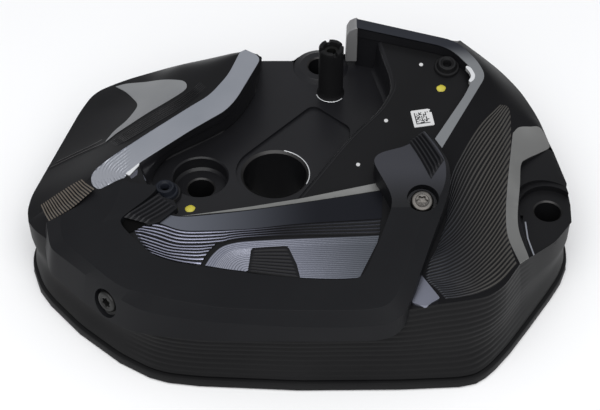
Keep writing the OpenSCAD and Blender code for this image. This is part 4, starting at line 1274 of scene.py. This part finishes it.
def label():
    """Printed label with one bitten corner and a made-up pattern of squares."""
    w, t = 5.2, 0.4
    plan = [(-w, -w), (w, -w), (w, w - 2.2), (w - 1, w - 2.4), (w - 1, w - 1.2), (w - 0.2, w - 0.8),
            (w - 1.4, w), (-w, w)]
    outline = loop(plan, 0.7, 0.8, 0)
    verts = [(x, y, t) for x, y, _ in outline] + [tuple(p) for p in outline]
    top, _, *sides = prism_faces(len(outline))
    faces = [top] + sides
    mats = [0] * len(faces)
    cells, size = 13, 0.55
    start = -cells * size / 2
    for i in range(cells):
        for j in range(cells):
            solid = i == 0 or j == 0
            dashed = (i == cells - 1 and j % 2) or (j == cells - 1 and i % 2)
            if not solid and (random.random() < 0.5 or dashed):
                continue
            k = len(verts)
            x, y = start + i * size - 0.2, start + j * size
            verts += [(x, y, t + 0.03), (x + size, y, t + 0.03), (x + size, y + size, t + 0.03),
                      (x, y + size, t + 0.03)]
            faces.append((k, k + 1, k + 2, k + 3))
            mats.append(1)
    turn = on_wing(74.2, 26.2) @ Matrix.Rotation(math.radians(9.5), 4, "Z")
    piece("data_label_print", placed(verts, turn), faces, [LABEL_WHITE, LABEL_INK], mats,
          replaces=["data_label"])


def paint_dab(name, matrix, r, node):
    """A round dab of paint, a little uneven and domed."""
    sides, verts, faces = 40, [(0, 0, 0.62)], []
    for q, z in ((0.55, 0.56), (0.85, 0.36), (1.0, 0.05)):
        for k in range(sides):
            a = 2 * math.pi * k / sides
            wobble = 1 + 0.05 * math.sin(2 * a + 0.6) + 0.03 * math.sin(5 * a)
            verts.append((r * q * wobble * math.cos(a), r * q * wobble * math.sin(a), z))
    faces += [(0, 1 + k, 1 + (k + 1) % sides) for k in range(sides)]
    for j in range(2):
        base = 1 + j * sides
        faces += [(base + k, base + sides + k, base + sides + (k + 1) % sides, base + (k + 1) % sides)
                  for k in range(sides)]
    piece(name, placed(verts, matrix), faces, [YELLOW], replaces=[node])


def small_parts():
    for which in ("arm", "side"):
        guard_bolt(which)
    x, y = LEFT_GROMMET_AT
    grommet("left_grommet_body", Matrix.Translation((x, y, 46)), "left_grommet", RUBBER)
    grommet("right_grommet_body", on_wing(88, 58), "right_grommet", RUBBER_GREY)
    seat, faces = turned([(8.0, FLOOR_Z), (7.4, 46), (2.2, 46)])
    piece("left_grommet_seat", seat + (x, y, 0), faces, [RECESS_BLACK])
    post()
    label()
    paint_dab("left_paint_dab", Matrix.Translation((-41, -25.5, 44)), 2.4, "left_paint_mark")
    paint_dab("right_paint_dab", on_wing(84.5, 44.8), 2.3, "right_paint_mark")


TOP_PIECES = ("cover_left_skin", "cover_front_skin", "cover_right_skin", "cover_back_skin", "recess_floor",
              "recess_sunk_floor", "wing_face", "right_pad_face", "right_seat_face", "left_spot_seat",
              "left_band_base", "front_band_base", "rim_base", "rim_land", "right_bright_strip")


def object_tree(names):
    """Some of the new surfaces as one tree for rays."""
    verts, faces = [], []
    for name in names:
        mesh = bpy.data.objects[name].data
        faces += [tuple(len(verts) + i for i in f.vertices) for f in mesh.polygons]
        verts += [v.co.copy() for v in mesh.vertices]
    return BVHTree.FromPolygons(verts, faces)


def kept_below(verts, faces):
    """A copied inner skin with its long edges cut and its high points moved under the new surfaces."""
    mesh = bpy.data.meshes.new("inner_skin")
    mesh.from_pydata([tuple(v * MM) for v in verts], [], faces)
    bm = bmesh.new()
    bm.from_mesh(mesh)
    for _ in range(5):
        high = [e for e in bm.edges if max(v.co.z for v in e.verts) > 30 * MM]
        bmesh.ops.subdivide_edges(bm, edges=[e for e in high if e.calc_length() > 5 * MM], cuts=1)
        bmesh.ops.triangulate(bm, faces=bm.faces[:])
    tops = object_tree(TOP_PIECES)
    for v in bm.verts:
        hit = tops.ray_cast(Vector((v.co.x, v.co.y, 0.2)), Vector((0, 0, -1)))[0]
        if hit is not None:
            v.co.z = min(v.co.z, max(hit.z - INNER_GAP * MM, 0.0))
    wall = object_tree(["cover_wall"])
    for v in bm.verts:
        centre = Vector((WALL_CENTRE[0] * MM, WALL_CENTRE[1] * MM, v.co.z))
        out = v.co - centre
        hit = wall.ray_cast(centre, out.normalized())[0] if out.length > 40 * MM else None
        if hit is not None and v.co.z > 6 * MM:
            reach = min(out.length, (hit - centre).length - INNER_GAP * MM)
            v.co = centre + out.normalized() * reach
    bm.verts.index_update()
    new_verts = [np.array(v.co) / MM for v in bm.verts]
    new_faces = [tuple(v.index for v in f.verts) for f in bm.faces]
    bm.free()
    return new_verts, new_faces


def faces_outside(tree, middle, normal):
    """Whether a CAD face is an undercut of the outer wall or of the open recess, and not an inner one."""
    if middle.z < 0.5 * MM:
        return False
    sideways = Vector((normal.x, normal.y, 0))
    start = middle + normal * RAY_START * MM
    if sideways.length > 0.05 and tree.ray_cast(start, sideways.normalized())[0] is None:
        return True
    aside = middle + normal * 8 * MM
    in_recess = middle.z > 43 * MM and abs(normal.z) < 0.3
    return in_recess and tree.ray_cast(aside, Vector((0, 0, 1)))[0] is None


def under_side():
    """The inner and lower faces of the CAD cover, copied: every face with metal straight above it."""
    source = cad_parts["head_cover"].data
    source.calc_loop_triangles()
    corners = [v.co.copy() for v in source.vertices]
    triangles = [tuple(t.vertices) for t in source.loop_triangles]
    tree = BVHTree.FromPolygons(corners, triangles)
    up, keep = Vector((0, 0, 1)), []
    for t, data in zip(triangles, source.loop_triangles):
        a, b, c = (corners[i] for i in t)
        middle = (a + b + c) / 3
        samples = [middle] + [middle * 0.2 + p * 0.8 for p in (a, b, c)]
        hit = [tree.ray_cast(p + data.normal * RAY_START * MM, up)[0] is not None for p in samples]
        covered = all(hit) and data.normal.z < 0.3 or data.normal.z < -0.3
        if covered and not faces_outside(tree, middle, data.normal):
            keep.append(t)
    used = sorted({i for t in keep for i in t})
    index = {old: new for new, old in enumerate(used)}
    verts = [np.array(corners[i]) / MM for i in used]
    faces = [tuple(index[i] for i in t) for t in keep]
    verts, faces = kept_below(verts, faces)
    return piece("cover_inside", verts, faces, [CAST], smooth=False)


def plain_nodes():
    """Materials of the CAD nodes that stay as they are."""
    looks = {"perimeter_gasket": SEAL, "plug_tunnel_gasket": SEAL, "arm_bolt_bush": STEEL,
             "side_bolt_bush": STEEL, "arm_thread_insert": BRASS, "side_thread_insert": BRASS,
             "post_thread_insert": DARK_STEEL, "check_dots": WHITE}
    for name, material in looks.items():
        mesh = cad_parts[name].data
        mesh.materials.clear()
        mesh.materials.append(material)


# ---------------------------------------------------------------- studio

def studio_world():
    world = bpy.data.worlds.new("studio")
    bpy.context.scene.world = world
    world.use_nodes = True
    nodes, links = world.node_tree.nodes, world.node_tree.links
    coords = nodes.new("ShaderNodeTexCoord")
    parts = nodes.new("ShaderNodeSeparateXYZ")
    links.new(coords.outputs["Generated"], parts.inputs["Vector"])
    sky = ramp(nodes, links, parts.outputs["Z"], 0.0, 0.9, (0.27, 0.27, 0.28), (0.58, 0.59, 0.61))
    links.new(sky, nodes["Background"].inputs["Color"])


def studio_floor():
    size, z = 3.0, CAD_BOX[0][2] - 0.0002
    mesh = bpy.data.meshes.new("studio_floor")
    corners = [(-size, -size, z), (size, -size, z), (size, size, z), (-size, size, z)]
    mesh.from_pydata(corners, [], [(0, 1, 2, 3)])
    floor = bpy.data.objects.new("studio_floor", mesh)
    bpy.context.scene.collection.objects.link(floor)
    mesh.materials.append(finish("studio_floor", (0.94, 0.94, 0.94), (0.96, 0.96, 0.96), (0.8, 0.9),
                                 grain=(200, 0.03), patch=3.0, spec=0.1))


def lamp(name, at, size, power):
    data = bpy.data.lights.new(name, "AREA")
    data.energy = power
    data.size = size
    obj = bpy.data.objects.new(name, data)
    bpy.context.scene.collection.objects.link(obj)
    obj.location = at
    obj.rotation_euler = (Vector((0, 0, 0.03)) - Vector(at)).to_track_quat("-Z", "Y").to_euler()


def studio():
    bpy.context.scene.view_settings.view_transform = "Standard"
    camera = bpy.data.objects.new("camera", bpy.data.cameras.new("camera"))
    bpy.context.scene.collection.objects.link(camera)
    camera.data.lens = 96.0
    camera.data.sensor_width = 36.0
    camera.location = (0.0125, -0.5652, 0.6055)
    target = Vector((0.0125, -0.0095, 0.030))
    camera.rotation_euler = (target - camera.location).to_track_quat("-Z", "Y").to_euler()
    bpy.context.scene.camera = camera
    studio_floor()
    studio_world()
    lamp("overhead", (0.0, -0.9, 1.5), 2.0, 30.0)


studio()
skins()
outer_wall()
bright_facets()
recess()
holes()
worn_glints()
right_pad()
grooved_zones()
guard()
small_parts()
under_side()
plain_nodes()
